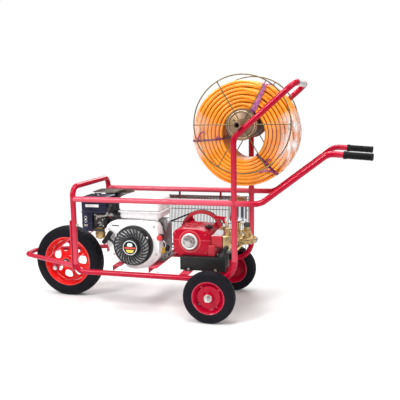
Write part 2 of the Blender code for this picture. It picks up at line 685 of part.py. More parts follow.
def lattice(columns, rows, place, low, high):
    """A sheet between low and high with rectangular openings; columns and rows alternate bar, gap."""
    shape = bmesh.new()
    corners = {}

    def corner(i, j, level):
        key = (i, j, level)
        if key not in corners:
            corners[key] = shape.verts.new(place(columns[i], rows[j], level))
        return corners[key]

    def solid(i, j):
        inside = 0 <= i < len(columns) - 1 and 0 <= j < len(rows) - 1
        return inside and (i % 2 == 0 or j % 2 == 0)

    for i in range(len(columns) - 1):
        for j in range(len(rows) - 1):
            if not solid(i, j):
                continue
            ring = [(i, j), (i + 1, j), (i + 1, j + 1), (i, j + 1)]
            for level in (low, high):
                shape.faces.new([corner(a, b, level) for a, b in ring])
            for (a, b), (c, d), near in zip(ring, ring[1:] + ring[:1], ((0, -1), (1, 0), (0, 1), (-1, 0))):
                if not solid(i + near[0], j + near[1]):
                    shape.faces.new([corner(a, b, low), corner(c, d, low), corner(c, d, high), corner(a, b, high)])
    return shape


def bars(start, pitch, count, half):
    """Alternating edges of count + 1 bars, pitch apart."""
    return [start + pitch * k + side for k in range(count + 1) for side in (-half, half)]


def make_belt_guard():
    """Wire guard on the belt side: an upright panel and a top folded in over the belt."""
    x_low, x_high, cells = -0.168, 0.292, 8
    columns = bars(x_low, (x_high - x_low) / cells, cells, 0.0015)
    upright = lattice(columns, bars(0.238, 0.1047, 3, 0.0015), lambda a, b, c: (a, c, b), 0.2347, 0.2383)
    top = lattice(columns, bars(0.112, 0.1240, 1, 0.0015), lambda a, b, c: (a, b, c), 0.5500, 0.5535)
    publish("belt_guard", combined(upright, [top]), "bronze_zinc")


# ---- pump -------------------------------------------------------------------------------
def make_pump():
    x, z = PUMP_AXIS
    outline = [
        (-0.008, PUMP_BASE), (-0.032, 0.318), (-0.032, 0.412), (-0.018, 0.426), (0.010, 0.431),
        (0.092, 0.431), (0.140, 0.420), (0.165, 0.398), (HEAD_X, 0.398), (HEAD_X, 0.336),
        (0.190, 0.334), (0.190, PUMP_BASE),
    ]
    case = side_plate(outline, -0.120, 0.090)
    bore = rod((x, -0.001, z), (x, 0.100, z), 0.0123, 16)
    publish("pump_crankcase", combined(case, [bore], "DIFFERENCE"), "pump_red")
    glass = turned([(0, 0), (0, 0.0425), (0.007, 0.0425), (0.011, 0.038), (0.011, 0)],
                   (x, -0.120 - GAP, z), (0, -1, 0), 28)
    publish("sight_glass", glass, "chrome")
    top, foot, sheet = PUMP_BASE - GAP, PUMP_BEAM_TOP + GAP, 0.004
    channel = [
        (-0.150, foot), (-0.150 + sheet, foot), (-0.150 + sheet, top - sheet), (0.095 - sheet, top - sheet),
        (0.095 - sheet, foot), (0.095, foot), (0.095, top), (-0.150, top),
    ]
    publish("pump_base", end_plate(channel, 0.012, 0.2505), "base_black")


def make_manifold():
    """The brass head: valve block, suction body, chamber neck, unloader and outlet cock."""
    head = block((HEAD_X + GAP, -0.100, 0.329), (0.262, 0.070, 0.397), 0.004)
    extras = [
        block((0.255, -0.095, 0.346), (0.374, -0.030, 0.396), 0.006),
        turned([(0, 0), (0, 0.020), (0.030, 0.020), (0.030, 0)], (0.366, -0.060, 0.376), (1, 0, 0), 6),
        rod((0.291, -0.045, 0.380), (0.291, -0.045, 0.4597), 0.014, 12),
        rod((0.243, -0.060, 0.390), (0.243, -0.060, 0.428), 0.012, 12),
        rod((0.345, -0.060, 0.390), (0.345, -0.060, 0.4410), 0.015, 12),
        rod((0.330, -0.096, 0.420), (0.330, -0.050, 0.420), 0.011, 12),
    ]
    publish("pump_manifold", combined(head, extras), "brass")
    dome = [
        (0, 0), (0, 0.030), (0.008, 0.0446), (0.112, 0.0446), (0.122, 0.040), (0.134, 0.022), (0.137, 0),
    ]
    publish("air_chamber", turned(dome, (0.291, -0.030, 0.460), (0, 0, 1), 28), "chrome")
    pivot = Vector((0.243, -0.060, 0.436))
    stem = rod(pivot + Vector((0.002, 0, -0.0055)), pivot + Vector((-0.014, 0, 0.046)), 0.006, 8)
    head_bar = block((0.174, -0.067, 0.478), (0.240, -0.053, 0.491), 0.003)
    publish("relief_lever", combined(head_bar, [stem]), "pump_red", pivot)
    knob_spot = (0.345, -0.060, 0.4410 + GAP)
    knob = turned([(0, 0), (0, 0.016), (0.020, 0.016), (0.024, 0.012), (0.024, 0)], knob_spot, (0, 0, 1), 12)
    publish("regulator_knob", knob, "base_black", knob_spot)
    lever("cock_lever", (0.330, -0.0965, 0.420), (0.298, -0.0965, 0.376), 0.006, "brass", 0.012)


def main():
    for leftover in list(bpy.data.objects):
        bpy.data.objects.remove(leftover)
    make_rails()
    make_reel_posts()
    make_handles()
    make_cross_members()
    make_front_fork()
    make_front_wheel()
    make_rear_wheels()
    make_reel()
    make_engine()
    make_starter_handle()
    make_fuel_and_air()
    make_controls()
    make_pulleys()
    make_belt()
    make_belt_guard()
    make_pump()
    make_manifold()


main()
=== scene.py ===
"""Looks of the three-wheeled power sprayer cart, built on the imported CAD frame.

Metres, in the CAD's own frame: +X to the push handles, +Y to the belt side, +Z up.
The helpers come first, then the finishes, then one function for each part of the cart.
"""
from math import asin, atan2, cos, hypot, pi, radians, sin, sqrt, tan

import bmesh
import bpy
from mathutils import Matrix, Vector, noise


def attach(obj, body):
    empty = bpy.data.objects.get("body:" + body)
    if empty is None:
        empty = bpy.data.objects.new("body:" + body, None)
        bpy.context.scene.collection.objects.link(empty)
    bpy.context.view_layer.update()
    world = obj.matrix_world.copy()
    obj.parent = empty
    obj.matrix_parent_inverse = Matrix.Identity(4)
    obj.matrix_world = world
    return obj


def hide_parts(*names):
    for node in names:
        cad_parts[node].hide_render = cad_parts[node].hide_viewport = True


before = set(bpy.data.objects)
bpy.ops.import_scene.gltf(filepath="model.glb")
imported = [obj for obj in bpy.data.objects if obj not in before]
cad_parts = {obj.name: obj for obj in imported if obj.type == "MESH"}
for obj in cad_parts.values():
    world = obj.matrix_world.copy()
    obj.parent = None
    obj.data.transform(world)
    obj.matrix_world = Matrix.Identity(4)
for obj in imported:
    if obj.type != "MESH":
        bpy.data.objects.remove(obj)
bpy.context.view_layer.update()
X, Y, Z = Vector((1, 0, 0)), Vector((0, 1, 0)), Vector((0, 0, 1))

# ---- sizes the CAD also has ---------------------------------------------------------------
TUBE_R = 0.0143
FRAME_Y = 0.22
LOWER_Z, UPPER_Z, HOOP_Z = 0.202, 0.586, 0.648
FRONT_X, POST_X = -0.539, 0.3135
POST_BEND_Z = 0.899
TOP_BAR = (0.6, 1.15)
TOP_BAR_HALF = 0.165
HANDLE_TOP = (0.752, 0.826)
HANDLE_END = (0.9431, 0.8124)
FRONT_AXLE = Vector((-0.692, 0.0, 0.198))
REAR_AXLE = Vector((0.197, 0.0, 0.13))
REEL = Vector((0.33618, 0.0, 0.95809))
NOSE_X, NOSE_HALF, FORK_Z = -0.9375, 0.055, 0.232
ENGINE = Vector((-0.226, 0.0, 0.346))
PUMP = Vector((0.057, 0.0, 0.366))
BELT_Y = 0.125
HOSE_D = 0.0165
SIDES = (("left", -1), ("right", 1))


# ---- helpers --------------------------------------------------------------------------------
def along_x(a, b, c):
    """Where plate puts an outline of (y, z) pairs that is pulled along X."""
    return c, a, b


def along_y(a, b, c):
    """The same for (x, z) pairs pulled along Y."""
    return a, c, b


def along_z(a, b, c):
    """The same for (x, y) pairs pulled along Z."""
    return a, b, c


def round_turn(count):
    """That many angles, evenly spread over one turn."""
    return [2 * pi * k / count for k in range(count)]


def upright(angle):
    """The unit vector at that angle in the XZ plane, from +X towards +Z."""
    return Vector((cos(angle), 0, sin(angle)))


def level(angle):
    """The unit vector at that angle in the XY plane, from +X towards +Y."""
    return Vector((cos(angle), sin(angle), 0))


def skin(shape, rings, loop=True, around=True):
    """Faces between neighbouring rings of vertices, the last ring joined to the first if loop."""
    for first, second in zip(rings, rings[1:] + rings[:1] if loop else rings[1:]):
        for j in range(len(first) if around else len(first) - 1):
            n = (j + 1) % len(first)
            shape.faces.new([first[j], first[n], second[n], second[j]])


def both_ends(half):
    """An (along, radius) profile whose second half mirrors the first."""
    return half + [(-along, radius) for along, radius in reversed(half)]


def squared(shape):
    """shape with all its faces turned outwards."""
    bmesh.ops.recalc_face_normals(shape, faces=shape.faces)
    return shape


def across(axis):
    """Two unit vectors square to axis, the second nearest to +Z."""
    axis = Vector(axis).normalized()
    up = Z if abs(axis.z) < 0.9 else X
    second = (up - axis * up.dot(axis)).normalized()
    return second.cross(axis), second


def lathe(profile, centre, axis, steps=48):
    """Turns (along, radius) pairs about an axis. A profile off the axis closes on itself."""
    shape = bmesh.new()
    axis = Vector(axis).normalized()
    u, v = across(axis)
    rings = []
    for along, radius in profile:
        spot = Vector(centre) + axis * along
        if radius == 0:
            rings.append([shape.verts.new(spot)])
            continue
        angles = [2 * pi * k / steps + pi / 2 for k in range(steps)]
        rings.append([shape.verts.new(spot + (u * cos(t) + v * sin(t)) * radius) for t in angles])
    pairs = list(zip(rings, rings[1:]))
    if profile[0][1] > 0 and profile[-1][1] > 0:
        pairs.append((rings[-1], rings[0]))
    for first, second in pairs:
        for k in range(steps):
            corners = [first[k % len(first)], first[(k + 1) % len(first)]]
            corners += [second[(k + 1) % len(second)], second[k % len(second)]]
            shape.faces.new(list(dict.fromkeys(corners)))
    return squared(shape)


def pin(start, end, radius, steps=20, chamfer=0.0006):
    """A round bar with eased ends."""
    start, end = Vector(start), Vector(end)
    length = (end - start).length
    c = min(chamfer, radius / 2, length / 3)
    profile = [(0, 0), (0, radius - c), (c, radius), (length - c, radius), (length, radius - c), (length, 0)]
    return lathe(profile, start, end - start, steps)


def rounded(corners, segments=12):
    """The centre line through (point, bend radius) corners, with its bends as arcs."""
    points = [Vector(corners[0][0])]
    for (before, _), (corner, radius), (after, _) in zip(corners, corners[1:], corners[2:]):
        corner = Vector(corner)
        back = (Vector(before) - corner).normalized()
        on = (Vector(after) - corner).normalized()
        half = back.angle(on) / 2
        reach = radius / tan(half)
        centre = corner + (back + on).normalized() * radius / sin(half)
        first = corner + back * reach - centre
        last = corner + on * reach - centre
        turn = first.angle(last)
        for k in range(segments + 1):
            share = k / segments
            arm = first * sin((1 - share) * turn) + last * sin(share * turn)
            points.append(centre + arm / sin(turn))
    points.append(Vector(corners[-1][0]))
    return points


def tube(points, radius, sides=24, closed=False, flat=1.0):
    """A round section swept along points. flat squeezes it across its second direction."""
    shape = bmesh.new()
    points = [Vector(p) for p in points]
    count = len(points)
    normal = None
    rings = []
    for k, spot in enumerate(points):
        before = points[k - 1] if k or closed else spot
        after = points[(k + 1) % count] if k < count - 1 or closed else spot
        into = (spot - before).normalized() if (spot - before).length else (after - spot).normalized()
        out = (after - spot).normalized() if (after - spot).length else into
        along = (into + out).normalized()
        if normal is None:
            normal = across(into)[1]
        normal = (normal - along * normal.dot(along)).normalized()
        side = along.cross(normal)
        size = radius[k] if isinstance(radius, (list, tuple)) else radius
        turns = round_turn(sides)
        rings.append([shape.verts.new(spot + (normal * cos(t) * flat + side * sin(t)) * size) for t in turns])
    if not closed:
        shape.faces.new(rings[0])
        shape.faces.new(rings[-1])
    skin(shape, rings, loop=closed)
    return squared(shape)


SHARP = radians(25)


def ease(shape, size, segments=3):
    """Rounds the sharp edges of shape."""
    sharp = [e for e in shape.edges if len(e.link_faces) == 2 and e.calc_face_angle() > SHARP]
    bmesh.ops.bevel(shape, geom=sharp, offset=size, segments=segments, profile=0.5, affect="EDGES",
        clamp_overlap=True)
    return shape


def plate(outline, low, high, place=along_y, bevel=0.001, segments=3):
    """An outline of (x, z) pairs pulled along Y from low to high, with its edges rounded."""
    shape = bmesh.new()
    first = [shape.verts.new(place(a, b, low)) for a, b in outline]
    second = [shape.verts.new(place(a, b, high)) for a, b in outline]
    shape.faces.new(first)
    shape.faces.new(second)
    for k in range(len(outline)):
        n = (k + 1) % len(outline)
        shape.faces.new([first[k], first[n], second[n], second[k]])
    bmesh.ops.recalc_face_normals(shape, faces=shape.faces)
    return ease(shape, bevel, segments) if bevel else shape


def brick(low, high, bevel=0.002, segments=3):
    """A box between two corners with rounded edges."""
    (x0, y0, z0), (x1, y1, z1) = low, high
    return plate([(x0, z0), (x1, z0), (x1, z1), (x0, z1)], y0, y1, bevel=bevel, segments=segments)


def rounded_outline(corners, radius, segments=6):
    """A closed (a, b) outline with every corner rounded."""
    count = len(corners)
    points = []
    for k in range(count):
        before, corner, after = (Vector(corners[(k + j) % count]) for j in (-1, 0, 1))
        reach = min(radius, (before - corner).length * 0.45, (after - corner).length * 0.45)
        start = corner + (before - corner).normalized() * reach
        end = corner + (after - corner).normalized() * reach
        for j in range(segments + 1):
            t = j / segments
            spot = start * (1 - t) ** 2 + corner * 2 * t * (1 - t) + end * t ** 2
            points.append((spot.x, spot.y))
    return points


def hexagon(spot, axis, size, height):
    """A hexagon nut or bolt head, size across its corners, with its top edge turned off."""
    shape = lathe([(0, 0), (0, size / 2), (height, size / 2), (height, 0)], spot, axis, 6)
    return ease(shape, size * 0.05, 2)


def bolt(spot, axis, thread=0.008, washer=True, stud=0.0):
    """A hexagon head on a washer, with a stub of thread if stud is given."""
    axis = Vector(axis).normalized()
    spot = Vector(spot)
    parts = []
    lift = 0.0
    if washer:
        lift = thread * 0.2
        parts.append(pin(spot, spot + axis * lift, thread * 1.15, 24, 0.0003))
    parts.append(hexagon(spot + axis * lift, axis, thread * 1.9, thread * 0.75))
    if stud:
        top = spot + axis * (lift + thread * 0.7)
        parts.append(pin(top, top + axis * stud, thread * 0.48, 16))
    return merged(parts)


def screw(spot, axis, size=0.006):
    """A domed screw head."""
    return lathe([(0, 0), (0, size), (size * 0.35, size * 0.92), (size * 0.62, size * 0.5), (size * 0.66, 0)],
        spot, axis, 20)


def pour(shape, whole):
    """Moves shape into the shape called whole."""
    mesh = bpy.data.meshes.new("part")
    shape.to_mesh(mesh)
    shape.free()
    whole.from_mesh(mesh)
    bpy.data.meshes.remove(mesh)


def merged(shapes):
    """Several shapes as one."""
    whole = bmesh.new()
    for shape in shapes:
        pour(shape, whole)
    return whole


def weld(centre, axis, radius, bead=0.0028, seed=0):
    """A rippled weld bead round a tube's end."""
    u, v = across(axis)
    steps = 72
    points, sizes = [], []
    for k in range(steps):
        t = 2 * pi * k / steps
        ripple = 0.82 + 0.22 * abs(sin(k * 0.9 + seed)) + 0.1 * noise.noise(Vector((t * 3, seed, 0)))
        points.append(Vector(centre) + (u * cos(t) + v * sin(t)) * radius)
        sizes.append(bead * ripple)
    return tube(points, sizes, 8, closed=True)


def saddle(centre, branch, trunk, radius, trunk_r, bead=0.0026, seed=0):
    """A weld bead where a tube of that radius, running along branch, meets a tube along trunk."""
    branch, trunk = Vector(branch).normalized(), Vector(trunk).normalized()
    side = branch.cross(trunk).normalized()
    points, sizes = [], []
    for k in range(64):
        t = 2 * pi * k / 64
        reach = radius + bead * 0.4
        out = side * cos(t) * reach + trunk * sin(t) * reach
        depth = sqrt(max(trunk_r ** 2 - min((reach * cos(t)) ** 2, trunk_r ** 2 * 0.97), 0))
        points.append(Vector(centre) + out + branch * depth)
        sizes.append(bead * (0.8 + 0.25 * abs(sin(k * 0.95 + seed))))
    return tube(points, sizes, 8, closed=True)


def placed(name, data):
    """A new object in the scene."""
    made = bpy.data.objects.new(name, data)
    bpy.context.scene.collection.objects.link(made)
    return made


class Piece:
    """Shapes gathered into one mesh that rides on a body."""

    def __init__(self, name, body="cart"):
        self.name, self.body = name, body
        self.whole = bmesh.new()
        self.materials = []

    def add(self, material, *shapes):
        if material not in self.materials:
            self.materials.append(material)
        index = self.materials.index(material)
        for shape in shapes:
            for face in shape.faces:
                face.material_index = index
            pour(shape, self.whole)

    def done(self, slot, *nodes, smooth=38):
        mesh = bpy.data.meshes.new(self.name)
        self.whole.to_mesh(mesh)
        self.whole.free()
        for material in self.materials:
            mesh.materials.append(material)
        mesh.shade_smooth()
        mesh.set_sharp_from_angle(angle=radians(smooth))
        made = placed(self.name, mesh)
        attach(made, self.body)
        if nodes:
            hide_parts(*nodes)
        return made


# ---- finishes ---------------------------------------------------------------------------------
class Graph:
    """A node tree, with short ways to add to it."""

    def __init__(self, tree):
        self.nodes, self.links = tree.nodes, tree.links

    def put(self, socket, value):
        """Gives a socket its value: a number, a tuple, or the output of another node."""
        if isinstance(value, bpy.types.NodeSocket):
            self.links.new(value, socket)
        elif socket.type == "RGBA" and len(value) == 3:
            socket.default_value = (*value, 1.0)
        else:
            socket.default_value = value

    def node(self, kind, values, **settings):
        made = self.nodes.new("ShaderNode" + kind)
        for name, value in settings.items():
            setattr(made, name, value)
        for name, value in values.items():
            self.put(made.inputs[name], value)
        return made

    def reckon(self, kind, first, second=0.0):
        return self.node("Math", {0: first, 1: second}, operation=kind).outputs["Value"]

    def between(self, kind, first, second=(0.0, 0.0, 0.0)):
        """The outputs of a sum with two vectors."""
        return self.node("VectorMath", {0: first, 1: second}, operation=kind).outputs

    def span(self, value, low, high, to_low, to_high, **settings):
        ends = {"Value": value, "From Min": low, "From Max": high, "To Min": to_low, "To Max": to_high}
        return self.node("MapRange", ends, **settings).outputs["Result"]

    def cloud(self, place, scale, detail=3.0):
        return self.node("TexNoise", {"Vector": place, "Scale": scale, "Detail": detail}).outputs["Fac"]

    def mixed(self, factor, first, second):
        node = self.node("Mix", {}, data_type="RGBA")
        for name, value in (("Factor", factor), ("A", first), ("B", second)):
            self.put(node.inputs[name], value)
        return node.outputs["Result"]


def surface(name, colour, rough, metal=0.0, coat=0.0, tint=None, tint_scale=40, tint_share=0.5, bump=0.0,
        bump_scale=400, dents=0.0, dent_scale=30, rough_spread=0.08, worn=None, worn_share=0.0, alpha=1.0,
        sheen=0.0, spec=0.5, subsurface=0.0, corner_shade=0.0):
    """A finish with colour drift, two sizes of relief, uneven gloss, worn edges and painted shade in corners.
    """
    material = bpy.data.materials.new(name)
    material.use_nodes = True
    graph = Graph(material.node_tree)
    shader = graph.nodes["Principled BSDF"]
    place = graph.nodes.new("ShaderNodeTexCoord").outputs["Object"]
    second = tint or tuple(c * 0.75 for c in colour)
    paint = graph.mixed(graph.span(graph.cloud(place, tint_scale), 0.35, 0.7, 0.0, tint_share), colour,
        second)
    if worn or corner_shade:
        edges = graph.nodes.new("ShaderNodeNewGeometry").outputs["Pointiness"]
    if worn:
        paint = graph.mixed(graph.span(edges, 0.53, 0.6, 0.0, worn_share), paint, worn)
    if corner_shade:
        # painted shade: hollows, where pointiness is low, are mixed towards a quarter of the colour
        paint = graph.mixed(graph.span(edges, 0.49, 0.42, 0.0, corner_shade), paint, tuple(c * 0.25 for c in colour))
    low, high = max(rough - rough_spread, 0.02), min(rough + rough_spread, 1.0)
    gloss = graph.span(graph.cloud(place, tint_scale * 2.2), 0.3, 0.7, low, high)
    values = {"Base Color": paint, "Roughness": gloss, "Metallic": metal, "Coat Weight": coat,
        "Coat Roughness": 0.06, "Specular IOR Level": spec, "Sheen Weight": sheen, "Alpha": alpha}
    if subsurface:
        values.update({"Subsurface Weight": subsurface, "Subsurface Radius": (0.004, 0.002, 0.001),
            "Subsurface Scale": 1.0})
    for strength, scale, distance in ((dents, dent_scale, 0.002), (bump, bump_scale, 0.0004)):
        if strength:
            relief = {"Strength": strength, "Distance": distance, "Height": graph.cloud(place, scale, 4.0)}
            if "Normal" in values:
                relief["Normal"] = values["Normal"]
            values["Normal"] = graph.node("Bump", relief).outputs["Normal"]
    for name, value in values.items():
        graph.put(shader.inputs[name], value)
    return material


# corner_shade sets how much painted shade darkens the hollows of each finish.
FRAME_RED = surface("frame_red", (0.43, 0.001, 0.024), 0.3, coat=0.28, spec=0.08, tint=(0.34, 0.001, 0.018),
    tint_scale=18, bump=0.1, bump_scale=260, worn=(0.85, 0.16, 0.22), worn_share=0.5, corner_shade=0.35)
RIM_RED = surface("rim_red", (0.72, 0.005, 0.006), 0.25, coat=0.3, spec=0.12, tint=(0.66, 0.006, 0.01),
    tint_scale=25, bump=0.08, bump_scale=300, worn=(0.95, 0.25, 0.22), worn_share=0.4, corner_shade=0.3)
PUMP_RED = surface("pump_red", (0.44, 0.001, 0.02), 0.34, coat=0.2, spec=0.12, tint=(0.34, 0.0, 0.015),
    tint_scale=30, bump=0.35, bump_scale=520, dents=0.1, dent_scale=60, worn=(0.85, 0.22, 0.22),
    worn_share=0.5, corner_shade=0.5)
TYRE = surface("tyre", (0.0055, 0.0055, 0.0085), 0.55, tint=(0.01, 0.01, 0.013), tint_scale=22,
    tint_share=0.8, bump=0.35, bump_scale=700, spec=0.1, rough_spread=0.12)
GRIP = surface("grip_rubber", (0.007, 0.007, 0.008), 0.6, tint=(0.014, 0.014, 0.014), bump=0.4,
    bump_scale=900, spec=0.14)
ZINC = surface("zinc", (0.62, 0.61, 0.58), 0.34, metal=1.0, tint=(0.46, 0.45, 0.42), tint_scale=70, bump=0.12,
    bump_scale=900)
SILVER_PAINT = surface("silver_paint", (0.66, 0.67, 0.66), 0.38, metal=0.55, tint=(0.8, 0.8, 0.78),
    tint_scale=40, bump=0.15, bump_scale=600)
BRONZE = surface("bronze_zinc", (0.27, 0.185, 0.095), 0.42, metal=0.75, tint=(0.36, 0.24, 0.2), tint_scale=26,
    tint_share=0.9, bump=0.15, bump_scale=500, dents=0.1, dent_scale=40)
WIRE = surface("reel_wire", (0.21, 0.155, 0.075), 0.38, metal=0.6, spec=0.4, tint=(0.12, 0.1, 0.05),
    tint_scale=60, bump=0.1, bump_scale=700)
# A paler copy of the reel wire for the hub ring: a painted highlight.
WIRE_HIGHLIGHT = surface("reel_wire_highlight", (0.62, 0.46, 0.33), 0.32, metal=0.6, tint=(0.46, 0.34, 0.22),
    tint_scale=60, bump=0.1, bump_scale=700)
MESH_WIRE = surface("guard_wire", (0.05, 0.017, 0.015), 0.6, spec=0.1, tint=(0.09, 0.026, 0.022),
    tint_scale=60, bump=0.1, bump_scale=700)
DRUM = surface("drum", (0.095, 0.04, 0.02), 0.6, spec=0.25, tint=(0.15, 0.055, 0.03), tint_scale=30, bump=0.2,
    bump_scale=400)
HOSE = surface("hose", (0.92, 0.29, 0.014), 0.34, coat=0.2, tint=(0.98, 0.37, 0.03), tint_scale=9,
    tint_share=0.8, bump=0.22, bump_scale=800, dents=0.12, dent_scale=70, subsurface=0.06)
STRAP = surface("strap", (0.44, 0.09, 0.48), 0.4, tint=(0.68, 0.36, 0.64), tint_scale=70, tint_share=0.9,
    bump=0.6, bump_scale=900, sheen=0.3, alpha=0.82)
STRAP_DARK = surface("strap_dark", (0.22, 0.01, 0.06), 0.38, tint=(0.34, 0.06, 0.2), tint_scale=70,
    tint_share=0.9, bump=0.6, bump_scale=900, sheen=0.2)
WHITE = surface("white_enamel", (0.9, 0.895, 0.9), 0.26, coat=0.5, tint=(0.85, 0.845, 0.85), tint_scale=14,
    bump=0.06, bump_scale=300, corner_shade=0.25)
SCREEN = surface("fan_screen", (0.9, 0.9, 0.9), 0.4, tint=(0.7, 0.7, 0.71), tint_scale=90, bump=0.2)
LABEL = surface("blank_label", (0.8, 0.8, 0.8), 0.4, tint=(0.7, 0.71, 0.72), tint_scale=60, bump=0.05)
BLACK = surface("black_plastic", (0.006, 0.007, 0.008), 0.42, spec=0.18, tint=(0.013, 0.013, 0.015),
    tint_scale=40, bump=0.35, bump_scale=1100, worn=(0.1, 0.1, 0.11), worn_share=0.5)
NAVY = surface("navy_plastic", (0.008, 0.009, 0.026), 0.34, spec=0.22, tint=(0.014, 0.014, 0.034),
    tint_scale=30, bump=0.25, bump_scale=900, worn=(0.1, 0.11, 0.2), worn_share=0.5)
CAST = surface("cast_aluminium", (0.4, 0.4, 0.41), 0.46, metal=0.85, tint=(0.3, 0.3, 0.31), tint_scale=60,
    bump=0.5, bump_scale=620, corner_shade=0.6)
STEEL = surface("dark_steel", (0.075, 0.07, 0.066), 0.42, metal=0.85, tint=(0.12, 0.1, 0.085), tint_scale=50,
    bump=0.2, bump_scale=500)
HEAT = surface("heat_shield", (0.19, 0.155, 0.125), 0.48, metal=0.6, tint=(0.09, 0.07, 0.06), tint_scale=36,
    tint_share=0.9, bump=0.3, bump_scale=400)
BRASS = surface("brass", (0.56, 0.4, 0.17), 0.33, metal=0.95, tint=(0.42, 0.3, 0.14), tint_scale=70,
    tint_share=0.8, bump=0.35, bump_scale=650, worn=(0.8, 0.66, 0.4), worn_share=0.6, corner_shade=0.5)
CHROME = surface("chrome", (0.74, 0.76, 0.79), 0.07, metal=1.0, tint=(0.62, 0.64, 0.68), tint_scale=24,
    bump=0.03, bump_scale=300, rough_spread=0.04)
BELT = surface("belt_rubber", (0.013, 0.013, 0.013), 0.75, tint=(0.03, 0.03, 0.03), tint_scale=90, bump=0.5,
    bump_scale=900)
BASE_BLACK = surface("black_enamel", (0.004, 0.005, 0.005), 0.4, spec=0.25, tint=(0.009, 0.012, 0.012),
    bump=0.2, bump_scale=500, worn=(0.08, 0.08, 0.08), worn_share=0.5)
SWITCH_RED = surface("switch_red", (0.7, 0.03, 0.03), 0.35, tint=(0.55, 0.02, 0.02), bump=0.1)
OIL_YELLOW = surface("oil_cap_yellow", (0.8, 0.52, 0.03), 0.38, tint=(0.62, 0.38, 0.03), bump=0.2)
GLASS_OIL = surface("oil_window", (0.52, 0.5, 0.49), 0.16, coat=0.6, tint=(0.07, 0.035, 0.035), tint_scale=42,
    tint_share=1.0, bump=0.05)


# ---- camera and light ---------------------------------------------------------------------------
FLOOR_R = 2.4
CAMERA_SPOT = Vector((0.9302, -2.9645, 1.0532))
CAMERA_TURN = 15.97, 9.04, -1.04      # degrees of yaw, of pitch and of roll
CAMERA_LENS = 53.58
LAMPS = (                             # name, place, target, size and power
    ("key", (-2.0, -3.2, 3.4), (0.0, 0, 0.5), 1.4, 165),
    ("fill", (3.4, -2.4, 1.8), (0.1, 0, 0.5), 1.4, 58),
    ("top", (0.2, -0.2, 4.0), (0.0, 0, 0.4), 2.0, 120),
    ("behind", (-0.6, 3.5, 2.6), (0.0, 0, 0.5), 2.0, 75))


def light_world(tree):
    """White behind the object; round it, for the light it gets, a dim room with tall soft boxes."""
    graph = Graph(tree)
    backdrop = graph.nodes["Background"].inputs
    place = graph.nodes.new("ShaderNodeTexCoord").outputs["Generated"]
    parts = graph.node("SeparateXYZ", {"Vector": place}).outputs
    bearing = graph.reckon("ARCTAN2", parts["Y"], parts["X"])
    boxes = graph.span(graph.reckon("SINE", graph.reckon("MULTIPLY", bearing, 5)), 0.15, 0.55, 0.0, 0.85)
    low_down = graph.span(parts["Z"], 0.55, 0.25, 0.0, 1.0)
    ceiling = graph.span(parts["Z"], 0.1, 0.9, 0.1, 0.55)
    room = graph.reckon("ADD", graph.reckon("MULTIPLY", boxes, low_down), ceiling)
    seen = graph.nodes.new("ShaderNodeLightPath").outputs["Is Camera Ray"]
    unseen = graph.reckon("MULTIPLY", graph.reckon("SUBTRACT", 1.0, seen), room)
    graph.put(backdrop["Color"], (1, 1, 1))
    graph.put(backdrop["Strength"], graph.reckon("ADD", graph.reckon("MULTIPLY", seen, 1.01), unseen))


def make_camera():
    yaw, pitch, roll = (radians(turn) for turn in CAMERA_TURN)
    back = Vector((sin(yaw) * cos(pitch), -cos(yaw) * cos(pitch), sin(pitch)))
    right = level(yaw)
    up = back.cross(right)
    across_view = right * cos(roll) + up * sin(roll)
    up_view = up * cos(roll) - right * sin(roll)
    camera = placed("camera", bpy.data.cameras.new("camera"))
    camera.matrix_world = Matrix((*zip(across_view, up_view, back, CAMERA_SPOT), (0, 0, 0, 1)))
    camera.data.lens = CAMERA_LENS
    camera.data.clip_start = 0.05
    bpy.context.scene.camera = camera
    bpy.context.scene.view_settings.view_transform = "Standard"


def make_lamps():
    world = bpy.data.worlds.new("studio")
    world.use_nodes = True
    light_world(world.node_tree)
    bpy.context.scene.world = world
    for name, place, target, size, power in LAMPS:
        lamp = bpy.data.lights.new(name, "AREA")
        lamp.size, lamp.energy = size, power
        holder = placed(name, lamp)
        holder.location = place
        holder.rotation_euler = (Vector(target) - Vector(place)).to_track_quat("-Z", "Y").to_euler()


def make_floor():
    """A pale disc that fades out towards its edge."""
    floor = bmesh.new()
    bmesh.ops.create_circle(floor, cap_ends=True, radius=FLOOR_R, segments=96)
    mesh = bpy.data.meshes.new("floor")
    floor.to_mesh(mesh)
    floor.free()
    pale = surface("floor", (0.86, 0.86, 0.86), 0.9, tint=(0.85, 0.85, 0.85), tint_scale=0.4, spec=0.1)
    graph = Graph(pale.node_tree)
    place = next(n for n in graph.nodes if n.type == "TEX_COORD").outputs["Object"]
    fade = graph.span(graph.between("LENGTH", place)["Value"], 1.15, FLOOR_R, 1.0, 0.0,
        interpolation_type="SMOOTHSTEP")
    graph.put(graph.nodes["Principled BSDF"].inputs["Alpha"], fade)
    mesh.materials.append(pale)
    ground = placed("floor", mesh)
    ground.location.z = -0.0004


# ---- hose -----------------------------------------------------------------------------------------
COIL_IN, COIL_OUT = 0.122, 0.254      # half height of the coil's eye, and of the coil below its middle
HANG_R = 0.0705                       # where the coil's eye rests on the drum
COIL = REEL + Z * (HANG_R - COIL_IN)  # the middle of the eye, as the coil hangs on the drum
COIL_SQUEEZE = 0.845                  # the eye's width over its height
COIL_RISE = 0.0065                    # how much higher the coil's outside sits than its eye
COIL_HALF = 0.1005                    # half the coil's width
LAYERS, COLUMNS = 8, 6                # how one hose is wound


def in_coil(angle, r, y):
    """A place in the coil, r being its distance from the middle if the angle were straight down."""
    depth = (r - COIL_IN) / (COIL_OUT - COIL_IN)
    eye = Vector((COIL_SQUEEZE * cos(angle), 0, sin(angle))) * COIL_IN
    outside = upright(angle) * (COIL_OUT + COIL_RISE) + Z * COIL_RISE
    return COIL + eye.lerp(outside, depth) + Y * y


